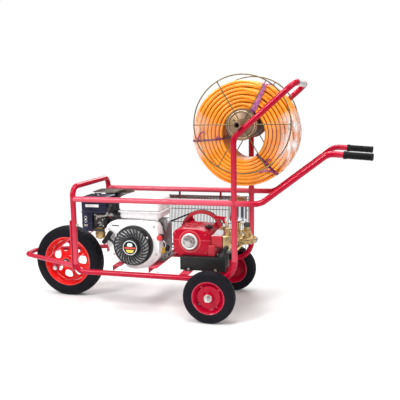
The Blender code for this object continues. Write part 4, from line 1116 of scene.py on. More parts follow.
def make_belt_drive():
    small = Piece("engine_sheave", "engine_crank")
    centre = ENGINE + Y * BELT_Y
    groove = [(-0.014, 0.0098), (-0.014, 0.029), (-0.0125, 0.0305), (-0.0085, 0.0305), (-0.0048, 0.0192),
        (0.0048, 0.0192), (0.0085, 0.0305), (0.0125, 0.0305), (0.014, 0.029), (0.014, 0.018), (0.006, 0.0165),
        (0.006, 0.0098)]
    small.add(STEEL, lathe(groove, centre, Y, 48), pin(centre + Y * 0.01 + X * 0.012,
        centre + Y * 0.01 + X * 0.0165, 0.003, 12))
    small.done("dark_steel", "engine_pulley")
    stub = Piece("engine_shaft_end", "engine_crank")
    stub.add(ZINC, pin(ENGINE + Y * 0.0303, ENGINE + Y * 0.148, 0.0095, 28, 0.001))
    stub.add(ZINC, bolt(ENGINE + Y * 0.147, Y, 0.006))
    stub.done("dark_steel", "engine_crankshaft")
    wheel = Piece("pump_sheave", "pump_crank")
    centre = PUMP + Y * BELT_Y
    rim = both_ends([(-0.013, 0.104), (-0.013, 0.119), (-0.0118, 0.1205), (-0.0085, 0.1205),
        (-0.005, 0.11)]) + [(0.011, 0.102), (-0.011, 0.102)]
    wheel.add(PUMP_RED, lathe(rim, centre, Y, 120))
    hub = both_ends([(-0.015, 0.0123), (-0.015, 0.0235), (-0.0138, 0.025), (-0.006, 0.0275)])
    wheel.add(PUMP_RED, lathe(hub, centre, Y, 48))
    for k in range(3):
        middle = radians(20 + 120 * k)
        ray = upright(middle)
        side = Vector((-sin(middle), 0, cos(middle)))
        outline = []
        for r, w in ((0.02, 0.02), (0.045, 0.017), (0.07, 0.0185), (0.09, 0.026), (0.104, 0.042)):
            outline.append((r, w))
        loop = [centre + ray * r + side * w for r, w in outline] + [centre + ray * r - side * w for r,
            w in reversed(outline)]
        flat = [(p.x, p.z) for p in loop]
        wheel.add(PUMP_RED, plate(flat, BELT_Y - 0.0055, BELT_Y + 0.0055, bevel=0.002, segments=2))
    wheel.add(ZINC, bolt(centre + Y * 0.012, Y, 0.008))
    wheel.done("pump_red", "pump_pulley")
    shaft = Piece("pump_shaft_end", "pump_crank")
    shaft.add(ZINC, pin(PUMP, PUMP + Y * 0.146, 0.012, 28, 0.001))
    shaft.done("dark_steel", "pump_crankshaft")

    small_c, large_c = Vector((ENGINE.x, ENGINE.z)), Vector((PUMP.x, PUMP.z))
    line = large_c - small_c
    lean, spread = atan2(line.y, line.x), asin(0.09 / line.length)
    path = []
    for middle, radius, start, sweep, steps in ((small_c, SMALL_R, lean + pi / 2 + spread, pi - 2 * spread,
            24), (large_c, LARGE_R, lean - pi / 2 - spread, pi + 2 * spread, 96)):
        for k in range(steps + 1):
            angle = start + sweep * k / steps
            away = Vector((cos(angle), sin(angle)))
            path.append((middle + away * radius, away))
    section = ((-0.0052, 0.004), (-0.0056, 0.003), (-0.004, -0.004), (0.004, -0.004), (0.0056, 0.003),
        (0.0052, 0.004))
    shape = bmesh.new()
    rings = []
    for spot, away in path:
        rings.append([shape.verts.new((spot.x + away.x * d, BELT_Y + a, spot.y + away.y * d)) for a,
            d in section])
    skin(shape, rings)
    bmesh.ops.recalc_face_normals(shape, faces=shape.faces)
    belt = Piece("v_belt")
    belt.add(BELT, shape)
    belt.done("belt", "drive_belt")


GUARD_BOX = -0.168, 0.292, 0.112, 0.2365, 0.238, 0.552
GUARD_PITCH, GUARD_WIRE_R = 0.0086, 0.0018


def make_guard():
    guard = Piece("guard_mesh")
    x0, x1, y0, y1, z0, z1 = GUARD_BOX
    wire = GUARD_WIRE_R
    count = round((x1 - x0) / GUARD_PITCH)
    for k in range(count + 1):
        x = x0 + (x1 - x0) * k / count
        guard.add(MESH_WIRE, tube([(x, y1, z0), (x, y1, z1 - 0.004), (x, y1 - 0.004, z1), (x, y0, z1)], wire,
            6))
    for z in [z0 + 0.001 + 0.0775 * k for k in range(4)] + [z1 - 0.02]:
        guard.add(MESH_WIRE, tube([(x0, y1 + 0.0016, z), (x1, y1 + 0.0016, z)], wire, 6))
    for y in (0.15, 0.192):
        guard.add(MESH_WIRE, tube([(x0, y, z1 + 0.0012), (x1, y, z1 + 0.0012)], wire, 6))
    edge = [((x0, y0, z1), 0), ((x0, y1, z1), 0.006), ((x0, y1, z0), 0.006), ((x1, y1, z0), 0.006),
        ((x1, y1, z1), 0.006), ((x1, y0, z1), 0)]
    guard.add(MESH_WIRE, tube(rounded(edge, 5), 0.0017, 8), tube([(x0, y0, z1), (x1, y0, z1)], 0.0017, 8))
    for x in (-0.105, 0.135):
        strap = rounded_outline([(x - 0.006, 0.528), (x + 0.006, 0.528), (x + 0.006, 0.576), (x - 0.006,
            0.576)], 0.003)
        guard.add(FRAME_RED, plate(strap, 0.2352, 0.2382, bevel=0.0006, segments=2))
        guard.add(ZINC, bolt((x, 0.238, 0.538), Y, 0.005))
    guard.done("bronze_zinc", "belt_guard")


# ---- engine --------------------------------------------------------------------------------------
def colour_chip(name, colour):
    return surface(name, colour, 0.3, coat=0.6, bump=0.05, tint=tuple(c * 0.9 for c in colour))


def make_engine_core():
    x, z = ENGINE.x, ENGINE.z
    core = Piece("engine_casting")
    core.add(CAST, brick((x - 0.09, -0.088, 0.26), (x + 0.13, 0.06, 0.438), 0.016, 4))
    core.add(CAST, brick((x - 0.092, -0.09, 0.2453), (x + 0.132, 0.074, 0.254), 0.0025, 2))
    cover = rounded_outline([(x - 0.08, 0.262), (x + 0.118, 0.262), (x + 0.124, 0.395), (x + 0.06, 0.43),
        (x - 0.06, 0.43), (x - 0.084, 0.38)], 0.03)
    core.add(CAST, plate(cover, 0.058, 0.07, bevel=0.003))
    for px, pz in ((-0.07, 0.275), (0.025, 0.272), (0.108, 0.275), (0.112, 0.386), (0.05, 0.42),
            (-0.05, 0.42), (-0.073, 0.37)):
        core.add(ZINC, bolt((x + px, 0.0705, pz), Y, 0.006, washer=False))
    core.add(CAST, lathe([(0, 0.011), (0, 0.034), (0.004, 0.032), (0.0045, 0.02), (0.0045, 0.011)],
        (x, 0.07, z), Y, 40))
    for px in (x - 0.078, x + 0.118):
        for y in (-0.07, 0.06):
            core.add(ZINC, bolt((px, y, 0.254), Z, 0.008))
    for k in range(11):
        fx = x - 0.19 + 0.0108 * k
        fin = rounded_outline([(-0.064, 0.352), (0.059, 0.352), (0.059, 0.459), (-0.064, 0.459)], 0.016)
        core.add(CAST, plate(fin, fx, fx + 0.0022, along_x, bevel=0.0006, segments=1))
    core.add(CAST, brick((x - 0.184, -0.048, 0.364), (x - 0.07, 0.044, 0.447), 0.012, 3))
    rocker = rounded_outline([(-0.052, 0.362), (0.048, 0.362), (0.048, 0.45), (-0.052, 0.45)], 0.014)
    core.add(CAST, plate(rocker, x - 0.1919, x - 0.184, along_x, bevel=0.003))
    core.add(LABEL, lathe([(0, 0), (0, 0.0062), (0.004, 0.006), (0.005, 0.0042), (0.014, 0.004), (0.014, 0)],
        (x - 0.15, -0.065, 0.405), (-0.2, -1, 0.2), 20))
    core.add(BLACK, lathe([(0, 0), (0, 0.0075), (0.012, 0.0078), (0.02, 0.006), (0.022, 0)], (x - 0.1525,
        -0.077, 0.4075), (-0.2, -1, 0.2), 20))
    lead = rounded([((x - 0.156, -0.094, 0.412), 0), ((x - 0.15, -0.112, 0.432), 0.012),
        ((x - 0.12, -0.1, 0.462), 0.012), ((x - 0.085, -0.08, 0.462), 0)], 8)
    core.add(BLACK, tube(lead, 0.0035, 12))
    neck = Vector((x + 0.122, -0.1, 0.3))
    lean = Vector((0.55, -0.35, 0.75)).normalized()
    core.add(CAST, lathe([(-0.03, 0), (-0.03, 0.02), (0.004, 0.017), (0.004, 0)], neck, lean, 32))
    grip = [(0.004, 0), (0.004, 0.0165), (0.01, 0.0172), (0.013, 0.015), (0.013, 0.0085), (0.03, 0.0078),
        (0.032, 0.006), (0.032, 0)]
    core.add(OIL_YELLOW, lathe(grip, neck, lean, 12))
    second = Vector((x + 0.136, -0.07, 0.312))
    core.add(BLACK, lathe([(-0.02, 0), (-0.02, 0.014), (0.002, 0.015), (0.006, 0.0185), (0.012, 0.0185),
        (0.015, 0.015), (0.022, 0.0085), (0.024, 0)], second, Vector((0.9, -0.25, 0.35)), 10))
    core.add(ZINC, bolt((x + 0.1305, -0.06, 0.272), X, 0.009))
    core.done("cast_grey", "engine_block")


RECOIL_Y = -0.1653                    # the face of the fan cover that the recoil starter sits on


def make_fan_cover():
    x, z = ENGINE.x, ENGINE.z
    outline = [(-0.382, 0.441), (-0.35, 0.4665), (-0.25, 0.4685), (-0.13, 0.465), (-0.107, 0.454),
        (-0.098, 0.42), (-0.0915, 0.366), (-0.0945, 0.315), (-0.106, 0.269), (-0.128, 0.2478),
        (-0.1375, 0.2472), (-0.141, 0.232), (-0.19, 0.219), (-0.232, 0.2145), (-0.268, 0.219),
        (-0.2842, 0.23), (-0.2855, 0.2475), (-0.318, 0.252), (-0.35, 0.278), (-0.379, 0.33), (-0.388, 0.38)]
    cover = Piece("fan_housing")
    cover.add(WHITE, plate(rounded_outline(outline, 0.014, 5), -0.165, -0.0905, bevel=0.0085, segments=5))
    ring = [(-0.0005, 0.1), (-0.0005, 0.1105), (0.003, 0.1095), (0.0045, 0.1065), (0.0045, 0.1)]
    cover.add(WHITE, lathe(ring, (x, -0.165, z), -Y, 96))
    for px, pz in ((-0.368, 0.425), (-0.118, 0.444), (-0.108, 0.3), (-0.345, 0.292)):
        cover.add(ZINC, bolt((px, -0.1652, pz), -Y, 0.0055))
    # A black plate drawn where the cover has a slot: painted shade of the opening.
    slot_at = rounded_outline([(-0.352, 0.4415), (-0.311, 0.4405), (-0.311, 0.4465), (-0.352, 0.4475)],
        0.0025)
    cover.add(BLACK, plate(slot_at, -0.1658, -0.164, bevel=0.0003, segments=1))
    cover.done("white", "fan_cover")

    grille = Piece("recoil_housing")
    shell = [(-0.0002, 0), (-0.0002, 0.1035), (0.006, 0.1042), (0.03, 0.1038), (0.038, 0.1015),
        (0.046, 0.0985), (0.049, 0.096), (0.05, 0.0935), (0.044, 0.092), (0.0435, 0.049), (0.059, 0.0465),
        (0.064, 0.0445), (0.066, 0.04), (0.066, 0)]
    grille.add(BLACK, lathe(shell, (x, RECOIL_Y, z), -Y, 96))
    screen = [(0.0437, 0.05), (0.0437, 0.0915), (0.0446, 0.0915), (0.0446, 0.05)]
    grille.add(SCREEN, lathe(screen, (x, RECOIL_Y, z), -Y, 96))
    blades = 28
    for k in range(blades):
        start = 2 * pi * k / blades
        points = []
        for j in range(7):
            r = 0.047 * (1 + j / 6)
            turn = start + 0.34 * (j / 6) ** 1.3
            lift = 0.05 + 0.0045 * sin(pi * j / 6)
            points.append(Vector((x + r * cos(turn), RECOIL_Y - lift, z + r * sin(turn))))
        grille.add(BLACK, tube(points, 0.0042, 8))
    for radius, start, sweep in ((0.064, 0.2, 0.3), (0.073, 0.5, 0.22)):
        for k in range(10):
            first = 2 * pi * k / 10 + start
            arc = [Vector((x + radius * cos(first + sweep * j / 6), -0.2195,
                z + radius * sin(first + sweep * j / 6))) for j in range(7)]
            grille.add(BLACK, tube(arc, 0.0024, 8))
    guide = Vector((-0.33, -0.186, 0.355))
    pull = Vector((-0.807, 0, 0.59)).normalized()
    grille.add(BLACK, lathe([(-0.02, 0.004), (-0.02, 0.012), (0.004, 0.011), (0.01, 0.0085), (0.01, 0.004)],
        guide, pull, 28))
    for angle in (30, 150, 270):
        spot = Vector((x + 0.0965 * cos(radians(angle)), -0.211, z + 0.0965 * sin(radians(angle))))
        grille.add(ZINC, lathe([(-0.006, 0), (-0.006, 0.007), (0.0, 0.0068), (0.0015, 0.005), (0.0018, 0)],
            spot, -Y, 24))
    face = Vector((x, -0.2308, z))
    grille.add(BLACK, lathe([(0, 0), (0, 0.0405), (0.002, 0.0395), (0.003, 0.037), (0.003, 0)], face, -Y, 64))
    grille.add(LABEL, lathe([(0.003, 0.0345), (0.003, 0.0378), (0.0038, 0.0375), (0.0038, 0.0348)], face, -Y,
        64))
    upper = rounded_outline([(x - 0.016, z + 0.006), (x + 0.016, z + 0.006), (x + 0.012, z + 0.024),
        (x - 0.012, z + 0.024)], 0.012, 6)
    band_mark = rounded_outline([(x - 0.03, z - 0.006), (x + 0.03, z - 0.006), (x + 0.031, z + 0.003),
        (x - 0.031, z + 0.003)], 0.002, 3)
    lower = rounded_outline([(x - 0.024, z - 0.011), (x + 0.024, z - 0.011), (x + 0.015, z - 0.026),
        (x - 0.015, z - 0.026)], 0.006, 4)
    for chip, shape in ((colour_chip("emblem_pale", (0.62, 0.78, 0.74)), upper), (colour_chip("emblem_red",
            (0.6, 0.05, 0.03)), band_mark), (colour_chip("emblem_gold", (0.72, 0.55, 0.06)), lower)):
        grille.add(chip, plate(shape, -0.2347, -0.2338, bevel=0.0002, segments=1))
    grille.done("black_plastic", "recoil_cover")

    handle = Piece("starter_grip", "starter_grip")
    middle = Vector((-0.37, -0.186, 0.384))
    along = Vector((pull.z, 0, -pull.x))
    outline = [(-0.04, -0.0095), (-0.034, -0.0125), (-0.012, -0.0112), (0.012, -0.0112), (0.034, -0.0125),
        (0.04, -0.0095), (0.04, 0.008), (0.034, 0.011), (0.0, 0.0095), (-0.034, 0.011), (-0.04, 0.008)]

    def on_grip(a, b, c):
        return tuple(middle + along * a + pull * b + Y * c)

    handle.add(BLACK, plate(rounded_outline(outline, 0.004, 3), -0.011, 0.011, on_grip, bevel=0.0035,
        segments=3))
    handle.add(BLACK, lathe([(-0.038, 0), (-0.038, 0.0058), (-0.02, 0.007), (-0.008, 0.0088), (0.0, 0.0088),
        (0.0, 0)], middle, pull, 28))
    rope = [middle - pull * 0.036 - pull * 0.008 * k for k in range(18)]
    handle.add(STEEL, tube(rope, [0.0019 + 0.00025 * (k % 2) for k in range(18)], 10))
    handle.done("black_plastic", "starter_handle")


CAP = Vector((-0.222, -0.02, 0.0))   # over the filler


def make_tank():
    tank = Piece("tank_steel")

    def ring(inset):
        return rounded_outline([(-0.34 + inset, -0.122 + inset), (-0.1 - inset, -0.122 + inset),
            (-0.1 - inset, 0.085 - inset), (-0.34 + inset, 0.085 - inset)], 0.036, 8)

    tank.add(WHITE, plate(ring(0.006), 0.4708, 0.5095, along_z, bevel=0.013, segments=6))
    tank.add(WHITE, plate(ring(0.003), 0.5085, 0.586, along_z, bevel=0.022, segments=8))
    tank.add(WHITE, plate(ring(-0.002), 0.5065, 0.5105, along_z, bevel=0.0015, segments=3))
    raised = rounded_outline([(-0.318, -0.098), (-0.268, -0.098), (-0.268, 0.062), (-0.318, 0.062)], 0.015, 5)
    tank.add(WHITE, plate(raised, 0.584, 0.5885, along_z, bevel=0.0022, segments=3))
    tank.add(WHITE, lathe([(0, 0.022), (0, 0.0335), (0.0012, 0.0335), (0.0025, 0.03), (0.0025, 0.022)],
        CAP + Z * 0.584, Z, 48))
    tank.done("white", "fuel_tank")
    cap = Piece("filler_cap_fuel", "tank_cap")
    profile = [(0.0005, 0), (0.0005, 0.029), (0.002, 0.031), (0.011, 0.031), (0.015, 0.0285), (0.0165, 0.024),
        (0.0172, 0.0)]
    cap.add(WHITE, lathe(profile, CAP + Z * 0.5863, Z, 56))
    for k in range(24):
        ray = level(2 * pi * k / 24)
        spot = (CAP + Z * 0.589) + ray * 0.0306
        cap.add(WHITE, tube([spot, spot + Z * 0.008], 0.001, 6))
    cap.add(WHITE, lathe([(0, 0.012), (0, 0.0145), (0.0014, 0.014), (0.0014, 0.012)], CAP + Z * 0.6026, Z,
        32))
    cap.done("white", "fuel_cap")


def spring(start, end, radius, wire, turns):
    """A coil spring with hooked ends."""
    start, end = Vector(start), Vector(end)
    along = (end - start).normalized()
    u, v = across(along)
    points = [start]
    steps = turns * 12
    for k in range(steps + 1):
        t = 2 * pi * k / 12
        middle = start + (end - start) * (0.08 + 0.84 * k / steps)
        points.append(middle + (u * cos(t) + v * sin(t)) * radius)
    points.append(end)
    return tube(points, wire, 8)


def make_air_and_fuel():
    clean = Piece("air_cleaner_case")
    clean.add(NAVY, brick((-0.544, -0.125, 0.503), (-0.4, 0.005, 0.566), 0.009, 4))
    clean.add(NAVY, brick((-0.5455, -0.1265, 0.564), (-0.3985, 0.0065, 0.583), 0.007, 4))
    clean.add(NAVY, brick((-0.5452, -0.1262, 0.499), (-0.3988, 0.0062, 0.506), 0.0025, 2))
    clean.add(NAVY, brick((-0.546, -0.119, 0.395), (-0.487, -0.041, 0.4995), 0.006, 3))
    clean.add(NAVY, brick((-0.5472, -0.1202, 0.437), (-0.4862, -0.0398, 0.442), 0.0015, 2))
    clean.add(LABEL, brick((-0.518, -0.1259, 0.529), (-0.441, -0.1248, 0.544), 0.0004, 1))
    for pz in (0.452, 0.47):
        ring = [Vector((-0.522 + 0.0075 * cos(t), -0.12, pz + 0.0075 * sin(t))) for t in round_turn(24)]
        clean.add(ZINC, tube(ring, 0.0016, 8, closed=True))
    clean.add(ZINC, brick((-0.532, -0.1215, 0.424), (-0.512, -0.119, 0.434), 0.0008, 2))
    clean.add(ZINC, bolt((-0.472, -0.06, 0.583), Z, 0.006, stud=0.004))
    wing = rounded_outline([(-0.49, 0.59), (-0.479, 0.588), (-0.465, 0.588), (-0.454, 0.59), (-0.452, 0.5975),
        (-0.464, 0.5955), (-0.48, 0.5955), (-0.492, 0.5975)], 0.003, 3)
    clean.add(BLACK, plate(wing, -0.0625, -0.0575, bevel=0.001, segments=2))
    clean.done("black_plastic", "air_cleaner")

    carb = Piece("carburettor_casting")
    carb.add(STEEL, brick((-0.483, -0.108, 0.415), (-0.421, -0.058, 0.496), 0.005, 3))
    carb.add(BLACK, brick((-0.4215, -0.104, 0.43), (-0.412, -0.06, 0.488), 0.002, 2))
    carb.add(BLACK, brick((-0.4866, -0.1, 0.44), (-0.48, -0.062, 0.49), 0.002, 2))
    bowl = [(0.0, 0), (0.0, 0.012), (0.0015, 0.019), (0.006, 0.025), (0.012, 0.0262), (0.026, 0.0262),
        (0.0275, 0.028), (0.031, 0.028), (0.0325, 0.025), (0.065, 0.024), (0.065, 0)]
    carb.add(BRASS, lathe(bowl, (-0.456, -0.085, 0.353), Z, 40))
    carb.add(BRASS, hexagon((-0.456, -0.085, 0.354), -Z, 0.012, 0.005), bolt((-0.44, -0.105, 0.358), -Y,
        0.005, washer=False))
    carb.add(CAST, lathe([(0, 0), (0, 0.012), (0.006, 0.0115), (0.007, 0.008), (0.007, 0)], (-0.446, -0.106,
        0.437), -Y, 28))
    carb.add(ZINC, screw((-0.466, -0.108, 0.464), -Y, 0.0045), screw((-0.43, -0.108, 0.46), -Y, 0.004))
    carb.add(ZINC, screw((-0.474, -0.108, 0.488), -Y, 0.004), screw((-0.428, -0.108, 0.426), -Y, 0.0036))
    carb.add(ZINC, pin((-0.4175, -0.112, 0.468), (-0.4175, -0.05, 0.468), 0.0024, 12))
    carb.add(BLACK, brick((-0.48, -0.134, 0.401), (-0.41, -0.124, 0.41), 0.002, 2))
    pipe = rounded([((-0.43, -0.118, 0.412), 0), ((-0.405, -0.128, 0.42), 0.01), ((-0.395, -0.12, 0.47),
        0.015), ((-0.35, -0.115, 0.478), 0)], 8)
    carb.add(BLACK, tube(pipe, 0.0034, 12))
    carb.add(ZINC, spring((-0.452, -0.146, 0.478), (-0.345, -0.146, 0.503), 0.0048, 0.001, 13))
    carb.add(ZINC, tube([(-0.47, -0.1235, 0.488), (-0.42, -0.13, 0.484), (-0.35, -0.141, 0.492)], 0.0014, 8))
    carb.add(BLACK, brick((-0.398, -0.122, 0.483), (-0.35, -0.04, 0.491), 0.002, 2),
        brick((-0.399, -0.11, 0.512), (-0.354, -0.02, 0.56), 0.004, 3))
    carb.add(BLACK, brick((-0.394, -0.1335, 0.486), (-0.364, -0.1295, 0.53), 0.0015, 2))
    carb.done("brass", "carburettor")

    muffler = Piece("muffler_shell")
    muffler.add(STEEL, brick((-0.51, 0.0605, 0.44), (-0.345, 0.155, 0.572), 0.024, 6))
    muffler.add(STEEL, lathe([(0, 0.009), (0, 0.013), (0.035, 0.013), (0.037, 0.012), (0.037, 0.009)],
        (-0.45, 0.15, 0.47), Y, 28))
    shield = rounded_outline([(-0.545, 0.015), (-0.408, 0.015), (-0.408, 0.15), (-0.545, 0.15)], 0.016, 5)
    muffler.add(HEAT, plate(shield, 0.584, 0.586, lambda a, b, c: (a, b, c + 0.008 * cos((b - 0.0875) * 16)),
        bevel=0.0006, segments=1))
    # The top shield's holes are drawn as black discs on its face: painted shade of the openings.
    for i in range(15):
        for j in range(9):
            px = -0.536 + 0.0125 * i + (0.0062 if j % 2 else 0)
            py = 0.022 + 0.014 * j
            if px < -0.414:
                top = 0.5861 + 0.008 * cos((py - 0.0875) * 16)
                muffler.add(BASE_BLACK, lathe([(0, 0), (0, 0.0036), (0.0003, 0.0034), (0.0003, 0)],
                    (px, py, top - 0.0001), Z, 10))
    side = rounded_outline([(-0.53, 0.452), (-0.35, 0.452), (-0.35, 0.588), (-0.53, 0.588)], 0.014, 5)
    muffler.add(HEAT, plate(side, 0.1585, 0.16, bevel=0.0005, segments=1))
    # The side shield's holes are drawn as black discs on its face: painted shade of the openings.
    for i in range(11):
        for j in range(7):
            muffler.add(BASE_BLACK, lathe([(0, 0), (0, 0.0046), (0.0003, 0.0044), (0.0003, 0)],
                (-0.515 + 0.015 * i, 0.16, 0.47 + 0.017 * j), Y, 10))
    for px, pz in ((-0.52, 0.462), (-0.36, 0.462), (-0.52, 0.578), (-0.36, 0.578)):
        muffler.add(ZINC, bolt((px, 0.16, pz), Y, 0.0055))
    muffler.done("dark_steel", "muffler")

    bracket = Piece("governor_bracket")
    shape = rounded_outline([(-0.13, 0.469), (-0.083, 0.469), (-0.078, 0.44), (-0.09, 0.404), (-0.112, 0.404),
        (-0.13, 0.436)], 0.006, 4)
    bracket.add(CAST, plate(shape, -0.064, -0.0605, bevel=0.0008, segments=2))
    bracket.add(CAST, brick((-0.13, -0.064, 0.4655), (-0.083, -0.02, 0.4692), 0.001, 2))
    for px, pz in ((-0.118, 0.454), (-0.093, 0.454), (-0.098, 0.418)):
        bracket.add(ZINC, bolt((px, -0.0641, pz), -Y, 0.0055))
    bracket.add(BLACK, tube(rounded([((-0.112, -0.072, 0.448), 0), ((-0.092, -0.085, 0.42), 0.02),
        ((-0.084, -0.098, 0.396), 0)], 8), 0.0026, 10))
    bracket.add(ZINC, spring((-0.11, -0.07, 0.462), (-0.086, -0.07, 0.434), 0.0032, 0.0007, 9))
    bracket.done("cast_grey")


def arm(start, end, width, near, far, knob=0.0):
    """A flat lever blank between two points in XZ, with an end pad."""
    start, end = Vector((start[0], start[1])), Vector((end[0], end[1]))
    along = (end - start).normalized()
    side = Vector((-along.y, along.x))
    outline = []
    for centre, size, turn in ((start, width / 2, pi / 2), (end, width / 2 + knob, -pi / 2)):
        for k in range(11):
            t = turn + pi * k / 10
            spot = centre + (along * cos(t) + side * sin(t)) * size
            outline.append((spot.x, spot.y))
    return plate(outline, near, far, bevel=0.0007, segments=2)


def make_controls():
    tap = Piece("fuel_tap_arm", "fuel_tap")
    tap.add(BLACK, arm((-0.446, 0.437), (-0.47, 0.421), 0.009, -0.1175, -0.1125, 0.001),
        screw((-0.446, -0.1172, 0.437), -Y, 0.003))
    tap.done("black_plastic", "fuel_lever")
    choke = Piece("choke_arm", "choke")
    choke.add(BLACK, arm((-0.452, 0.47), (-0.412, 0.479), 0.008, -0.117, -0.113, 0.002),
        screw((-0.452, -0.1168, 0.47), -Y, 0.003))
    choke.done("black_plastic", "choke_lever")
    throttle = Piece("throttle_arm", "throttle")
    throttle.add(STEEL, arm((-0.385, 0.502), (-0.368, 0.538), 0.009, -0.141, -0.1375))
    knob = Vector((-0.368, -0.1415, 0.537))
    throttle.add(BLACK, lathe([(-0.006, 0), (-0.006, 0.0062), (-0.003, 0.0072), (0.008, 0.0066),
        (0.01, 0.0045), (0.0105, 0)], knob, Vector((0.42, 0, 0.9)), 20))
    throttle.add(ZINC, bolt((-0.385, -0.1408, 0.502), -Y, 0.005))
    throttle.done("cast_grey", "throttle_lever")
    switch = Piece("stop_switch", "ignition_switch")
    spot = Vector((-0.088, -0.1653, 0.388))
    switch.add(SWITCH_RED, lathe([(0.0003, 0), (0.0003, 0.013), (0.0015, 0.0145), (0.008, 0.014),
        (0.0095, 0.012), (0.0098, 0)], spot, -Y, 36))
    pointer = rounded_outline([(-0.1, 0.384), (-0.076, 0.384), (-0.076, 0.392), (-0.1, 0.392)], 0.003, 4)
    switch.add(SWITCH_RED, plate(pointer, -0.1788, -0.1745, bevel=0.0012, segments=2))
    switch.done("switch_red", "engine_switch")
    base = Piece("switch_box")
    base.add(BLACK, brick((-0.1, -0.1648, 0.372), (-0.074, -0.135, 0.404), 0.004, 3))
    wires = [((-0.078, -0.15, 0.376), (-0.062, -0.148, 0.356), (-0.074, -0.13, 0.33)),
        ((-0.081, -0.15, 0.376), (-0.072, -0.152, 0.348), (-0.084, -0.12, 0.318))]
    for k, (a, b, c) in enumerate(wires):
        base.add((LABEL, BLACK)[k], tube(rounded([(a, 0), (b, 0.01), (c, 0)], 8), 0.0016, 8))
    base.done("black_plastic")


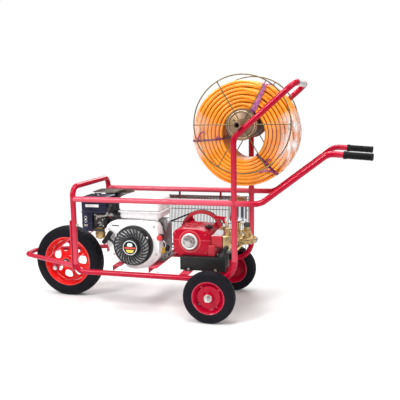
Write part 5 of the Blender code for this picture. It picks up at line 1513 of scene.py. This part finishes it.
# ---- pump ---------------------------------------------------------------------------------------
def make_pump():
    x, z = PUMP.x, PUMP.z
    case = Piece("pump_casting")
    outline = [(-0.009, 0.2925), (-0.031, 0.318), (-0.0345, 0.365), (-0.031, 0.41), (-0.018, 0.425),
        (0.012, 0.4305), (0.09, 0.4305), (0.138, 0.42), (0.161, 0.404), (0.163, 0.396), (0.163, 0.2925)]
    case.add(PUMP_RED, plate(rounded_outline(outline, 0.01, 4), -0.118, 0.088, bevel=0.009, segments=5))
    case.add(PUMP_RED, brick((0.15, -0.104, 0.3365), (0.2225, 0.074, 0.397), 0.004, 3))
    case.add(PUMP_RED, brick((0.15, -0.11, 0.2922), (0.191, 0.076, 0.342), 0.005, 3))
    case.add(PUMP_RED, brick((0.153, -0.119, 0.2922), (0.19, -0.085, 0.35), 0.005, 3))
    flange = rounded_outline([(-0.0355, 0.3705), (0.164, 0.3705), (0.164, 0.3745), (-0.0355, 0.3745)], 0.001,
        2)
    case.add(PUMP_RED, plate(flange, -0.1195, 0.0895, bevel=0.001, segments=2))
    rib = rounded_outline([(0.014, 0.43), (0.086, 0.43), (0.08, 0.435), (0.022, 0.435)], 0.003, 3)
    for y in (-0.07, -0.015, 0.04):
        case.add(PUMP_RED, plate(rib, y, y + 0.007, bevel=0.0015, segments=2))
    case.add(PUMP_RED, lathe([(-0.001, 0), (-0.001, 0.0585), (0.0015, 0.0575), (0.0022, 0.045), (0.0022, 0)],
        (x, -0.1172, z), -Y, 64))
    for px, pz in ((-0.021, 0.332), (-0.021, 0.405), (0.143, 0.31), (0.14, 0.404)):
        case.add(PUMP_RED, bolt((px, -0.118, pz), -Y, 0.006, washer=False))
    for pz in (0.345, 0.388):
        for py in (-0.085, -0.04, 0.01, 0.055):
            case.add(ZINC, bolt((0.2215, py, pz), X, 0.003, washer=False))
    for py in (-0.07, -0.015, 0.04):
        case.add(BRASS, lathe([(0, 0), (0, 0.0095), (0.012, 0.0095), (0.013, 0.0115), (0.02, 0.0115),
            (0.0225, 0.0085), (0.0235, 0)], (0.196, py, 0.396), Z, 20))
    case.add(LABEL, brick((0.17, -0.102, 0.397), (0.22, -0.09, 0.3978), 0.0003, 1))
    plate_at = rounded_outline([(0.172, 0.3985), (0.224, 0.3985), (0.228, 0.424), (0.196, 0.427)], 0.003, 3)
    case.add(SILVER_PAINT, plate(plate_at, -0.085, -0.0835, bevel=0.0004, segments=1))
    case.add(BLACK, lathe([(0, 0), (0, 0.015), (0.003, 0.0165), (0.008, 0.02), (0.013, 0.0205),
        (0.0155, 0.019), (0.016, 0.008), (0.02, 0.007), (0.0205, 0)], (0.137, -0.03, 0.419), Z, 28))
    boss = [(0, 0.013), (0, 0.036), (0.004, 0.034), (0.006, 0.022), (0.007, 0.013)]
    case.add(PUMP_RED, lathe(boss, (x, 0.0875, z), Y, 48))
    case.add(ZINC, bolt((-0.032, -0.06, 0.325), -X, 0.008))
    case.done("pump_red", "pump_crankcase")

    glass = Piece("sight_window")
    spot = Vector((x, -0.1203, z))
    bezel = [(0.0, 0), (0.0, 0.042), (0.0015, 0.0435), (0.007, 0.043), (0.0098, 0.0405), (0.0104, 0.0375),
        (0.009, 0.0345), (0.0072, 0.033), (0.0072, 0)]
    glass.add(SILVER_PAINT, lathe(bezel, spot, -Y, 72))
    glass.add(GLASS_OIL, lathe([(0.007, 0), (0.007, 0.0332), (0.0078, 0.033), (0.0092, 0.02), (0.0096, 0.0)],
        spot, -Y, 56))
    glass.add(CHROME, lathe([(0.009, 0.0175), (0.009, 0.0195), (0.0102, 0.019), (0.0102, 0.018)], spot, -Y,
        40))
    for k in range(6):
        t = 2 * pi * k / 6 + 0.5
        glass.add(ZINC, screw(spot + Vector((0.0385 * cos(t), -0.0096, 0.0385 * sin(t))), -Y, 0.0022))
    glass.done("chrome", "sight_glass")

    base = Piece("pump_pedestal")
    top, foot = 0.2917, 0.2228
    channel = [(-0.15, foot), (-0.1455, foot), (-0.1455, top - 0.0045), (0.0905, top - 0.0045),
        (0.0905, foot), (0.095, foot), (0.095, top), (-0.15, top)]
    base.add(BASE_BLACK, plate(channel, 0.012, 0.2505, along_x, bevel=0.0018, segments=3))
    for px in (0.06, 0.2):
        lug = rounded_outline([(px - 0.017, -0.168), (px + 0.017, -0.168), (px + 0.017, -0.146), (px - 0.017,
            -0.146)], 0.006, 4)
        base.add(BASE_BLACK, plate(lug, foot, foot + 0.0045, along_z, bevel=0.001, segments=2))
        base.add(ZINC, bolt((px, -0.158, foot + 0.0045), Z, 0.008, stud=0.004))
        base.add(ZINC, bolt((px, 0.08, top), Z, 0.007))
    trap = [(0, 0), (0, 0.024), (0.006, 0.029), (0.052, 0.03), (0.064, 0.026), (0.072, 0.016), (0.072, 0)]
    base.add(BASE_BLACK, lathe(trap, (0.231, -0.118, 0.244), Z, 36))
    base.add(ZINC, hexagon((0.204, -0.1, 0.2915), Z, 0.022, 0.014))
    elbow = rounded([((0.231, -0.118, 0.3), 0), ((0.238, -0.112, 0.324), 0.014), ((0.246, -0.092, 0.338), 0)],
        8)
    base.add(BASE_BLACK, tube(elbow, 0.0125, 20))
    base.done("base_black", "pump_base")
    gusset = Piece("cradle_gussets")
    for px in (0.058, 0.197):
        tri = [(-0.13, 0.2226), (-0.218, 0.218), (-0.218, 0.214), (-0.13, 0.2166)]
        gusset.add(FRAME_RED, plate(tri, px - 0.03, px + 0.014, along_x, bevel=0.0012, segments=2))
    gusset.done("frame_red")


def make_manifold():
    head = Piece("valve_head")
    head.add(BRASS, brick((0.2236, -0.098, 0.33), (0.262, 0.068, 0.3965), 0.005, 3))
    for py in (-0.076, -0.018, 0.04):
        for pz, axis in ((0.3965, Z), (0.33, -Z)):
            head.add(BRASS, lathe([(-0.002, 0), (-0.002, 0.016), (0.0035, 0.0155), (0.0035, 0)], (0.2455, py,
                pz), axis, 28))
            head.add(BRASS, hexagon((0.2455, py, pz + axis.z * 0.003), axis, 0.027, 0.0085))
    for pz in (0.346, 0.381):
        for py in (-0.092, -0.048, 0.01, 0.062):
            head.add(ZINC, bolt((0.262, py, pz), X, 0.0045, washer=False))
    body = [(0, 0), (0, 0.0225), (0.003, 0.025), (0.028, 0.025), (0.031, 0.0225), (0.04, 0.0215),
        (0.043, 0.0245), (0.078, 0.0245), (0.081, 0.0215), (0.108, 0.02), (0.11, 0)]
    head.add(BRASS, lathe(body, (0.26, -0.06, 0.372), X, 40))
    head.add(BRASS, hexagon((0.369, -0.06, 0.377), X, 0.04, 0.018))
    head.add(ZINC, lathe([(0, 0.012), (0, 0.0165), (0.0085, 0.0165), (0.009, 0.0155), (0.009, 0.012)],
        (0.387, -0.06, 0.377), X, 32))
    head.add(BRASS, lathe([(0, 0), (0, 0.0155), (0.012, 0.0155), (0.013, 0.018), (0.026, 0.018),
        (0.027, 0.014), (0.075, 0.014), (0.08, 0.0165), (0.0815, 0)], (0.291, -0.045, 0.379), Z, 28))
    head.add(BRASS, hexagon((0.291, -0.045, 0.408), Z, 0.042, 0.013), hexagon((0.291, -0.036, 0.447), Z, 0.04,
        0.011))
    stem = [(0, 0), (0, 0.0125), (0.014, 0.0125), (0.015, 0.015), (0.022, 0.015), (0.023, 0.0115),
        (0.038, 0.0115), (0.038, 0)]
    head.add(BRASS, lathe(stem, (0.243, -0.06, 0.39), Z, 28), hexagon((0.243, -0.06, 0.408), Z, 0.03, 0.008))
    regulator = [(0, 0), (0, 0.016), (0.012, 0.016), (0.013, 0.0185), (0.022, 0.0185), (0.023, 0.015),
        (0.044, 0.015), (0.046, 0.0175), (0.0505, 0.017), (0.0505, 0)]
    head.add(BRASS, lathe(regulator, (0.345, -0.06, 0.39), Z, 32), hexagon((0.345, -0.06, 0.413), Z, 0.04,
        0.01))
    cock = [(0, 0), (0, 0.0085), (0.006, 0.0085), (0.007, 0.012), (0.03, 0.012), (0.031, 0.009),
        (0.046, 0.0085), (0.046, 0)]
    head.add(BRASS, lathe(cock, (0.33, -0.05, 0.42), -Y, 28), hexagon((0.33, -0.074, 0.42), -Y, 0.028, 0.008))
    tee = rounded([((0.345, -0.06, 0.402), 0), ((0.3665, -0.075, 0.404), 0.008), ((0.3725, -0.092, 0.398),
        0)], 6)
    head.add(BRASS, tube(tee, 0.008, 18), hexagon((0.3715, -0.089, 0.399), Vector((0.3, -0.9, -0.2)), 0.02,
        0.01))
    back = rounded([((0.262, 0.035, 0.365), 0), ((0.29, 0.035, 0.365), 0.018), ((0.295, 0.035, 0.33), 0.018),
        ((0.27, 0.03, 0.302), 0)], 8)
    head.add(BRASS, tube(back, 0.011, 20), hexagon((0.264, 0.035, 0.365), X, 0.03, 0.01))
    head.done("brass", "pump_manifold")

    chamber = Piece("surge_chamber")
    spot = Vector((0.291, -0.03, 0.46))
    shell = [(0.0, 0), (0.0, 0.028), (0.003, 0.033), (0.0095, 0.041), (0.014, 0.044), (0.018, 0.0446),
        (0.108, 0.0446), (0.1095, 0.044)]
    chamber.add(CHROME, lathe(shell + [(0.1095, 0)], spot, Z, 72))
    cap = [(0.109, 0), (0.109, 0.0452), (0.111, 0.046), (0.115, 0.0455), (0.121, 0.042), (0.1275, 0.033),
        (0.132, 0.021), (0.1345, 0.008), (0.137, 0.006), (0.137, 0)]
    chamber.add(BRONZE, lathe(cap, spot, Z, 72))
    chamber.done("chrome", "air_chamber")

    lever = Piece("relief_arm", "relief_valve")
    pivot = Vector((0.243, -0.06, 0.436))
    shape = [(0.174, 0.485), (0.18, 0.495), (0.204, 0.4915), (0.241, 0.4885), (0.227, 0.48), (0.233, 0.458),
        (0.225, 0.454), (0.214, 0.472), (0.196, 0.479)]
    lever.add(PUMP_RED, plate(rounded_outline(shape, 0.0035, 4), -0.0665, -0.0535, bevel=0.003, segments=3))
    stalk = rounded([((0.244, -0.06, 0.433), 0), ((0.241, -0.06, 0.45), 0.012), ((0.227, -0.06, 0.472), 0)],
        6)
    lever.add(BRASS, tube(stalk, 0.0048, 14))
    lever.add(BRASS, lathe([(-0.0035, 0), (-0.0035, 0.0085), (0.006, 0.0085), (0.008, 0.0065), (0.008, 0)],
        pivot, Z, 20))
    lever.done("pump_red", "relief_lever")
    knob = Piece("regulator_wheel", "pressure_regulator")
    profile = [(0.0004, 0), (0.0004, 0.014), (0.003, 0.015)]
    knob.add(STEEL, lathe(profile + [(0.018, 0.0152), (0.0215, 0.0135), (0.0236, 0.01), (0.024, 0)],
        (0.345, -0.06, 0.4413), Z, 24))
    for k in range(12):
        ray = level(pi * k / 6)
        spot = Vector((0.345, -0.06, 0.4445)) + ray * 0.0148
        knob.add(STEEL, tube([spot, spot + Z * 0.0145], 0.0014, 8))
    knob.done("base_black", "regulator_knob")
    cock_arm = Piece("outlet_cock_arm", "outlet_cock")
    cock_arm.add(BRASS, arm((0.33, 0.42), (0.298, 0.376), 0.011, -0.1022, -0.0968, 0.001))
    cock_arm.add(ZINC, bolt((0.33, -0.102, 0.42), -Y, 0.005))
    cock_arm.done("brass", "cock_lever")


for make in (make_camera, make_lamps, make_floor, make_hoses, make_hose_ties, make_rails, make_posts,
             make_handles, make_beams, make_fork, make_front_wheel, make_rear_wheels, make_reel,
             make_belt_drive, make_guard, make_engine_core, make_fan_cover, make_tank, make_air_and_fuel,
             make_controls, make_pump, make_manifold):
    make()
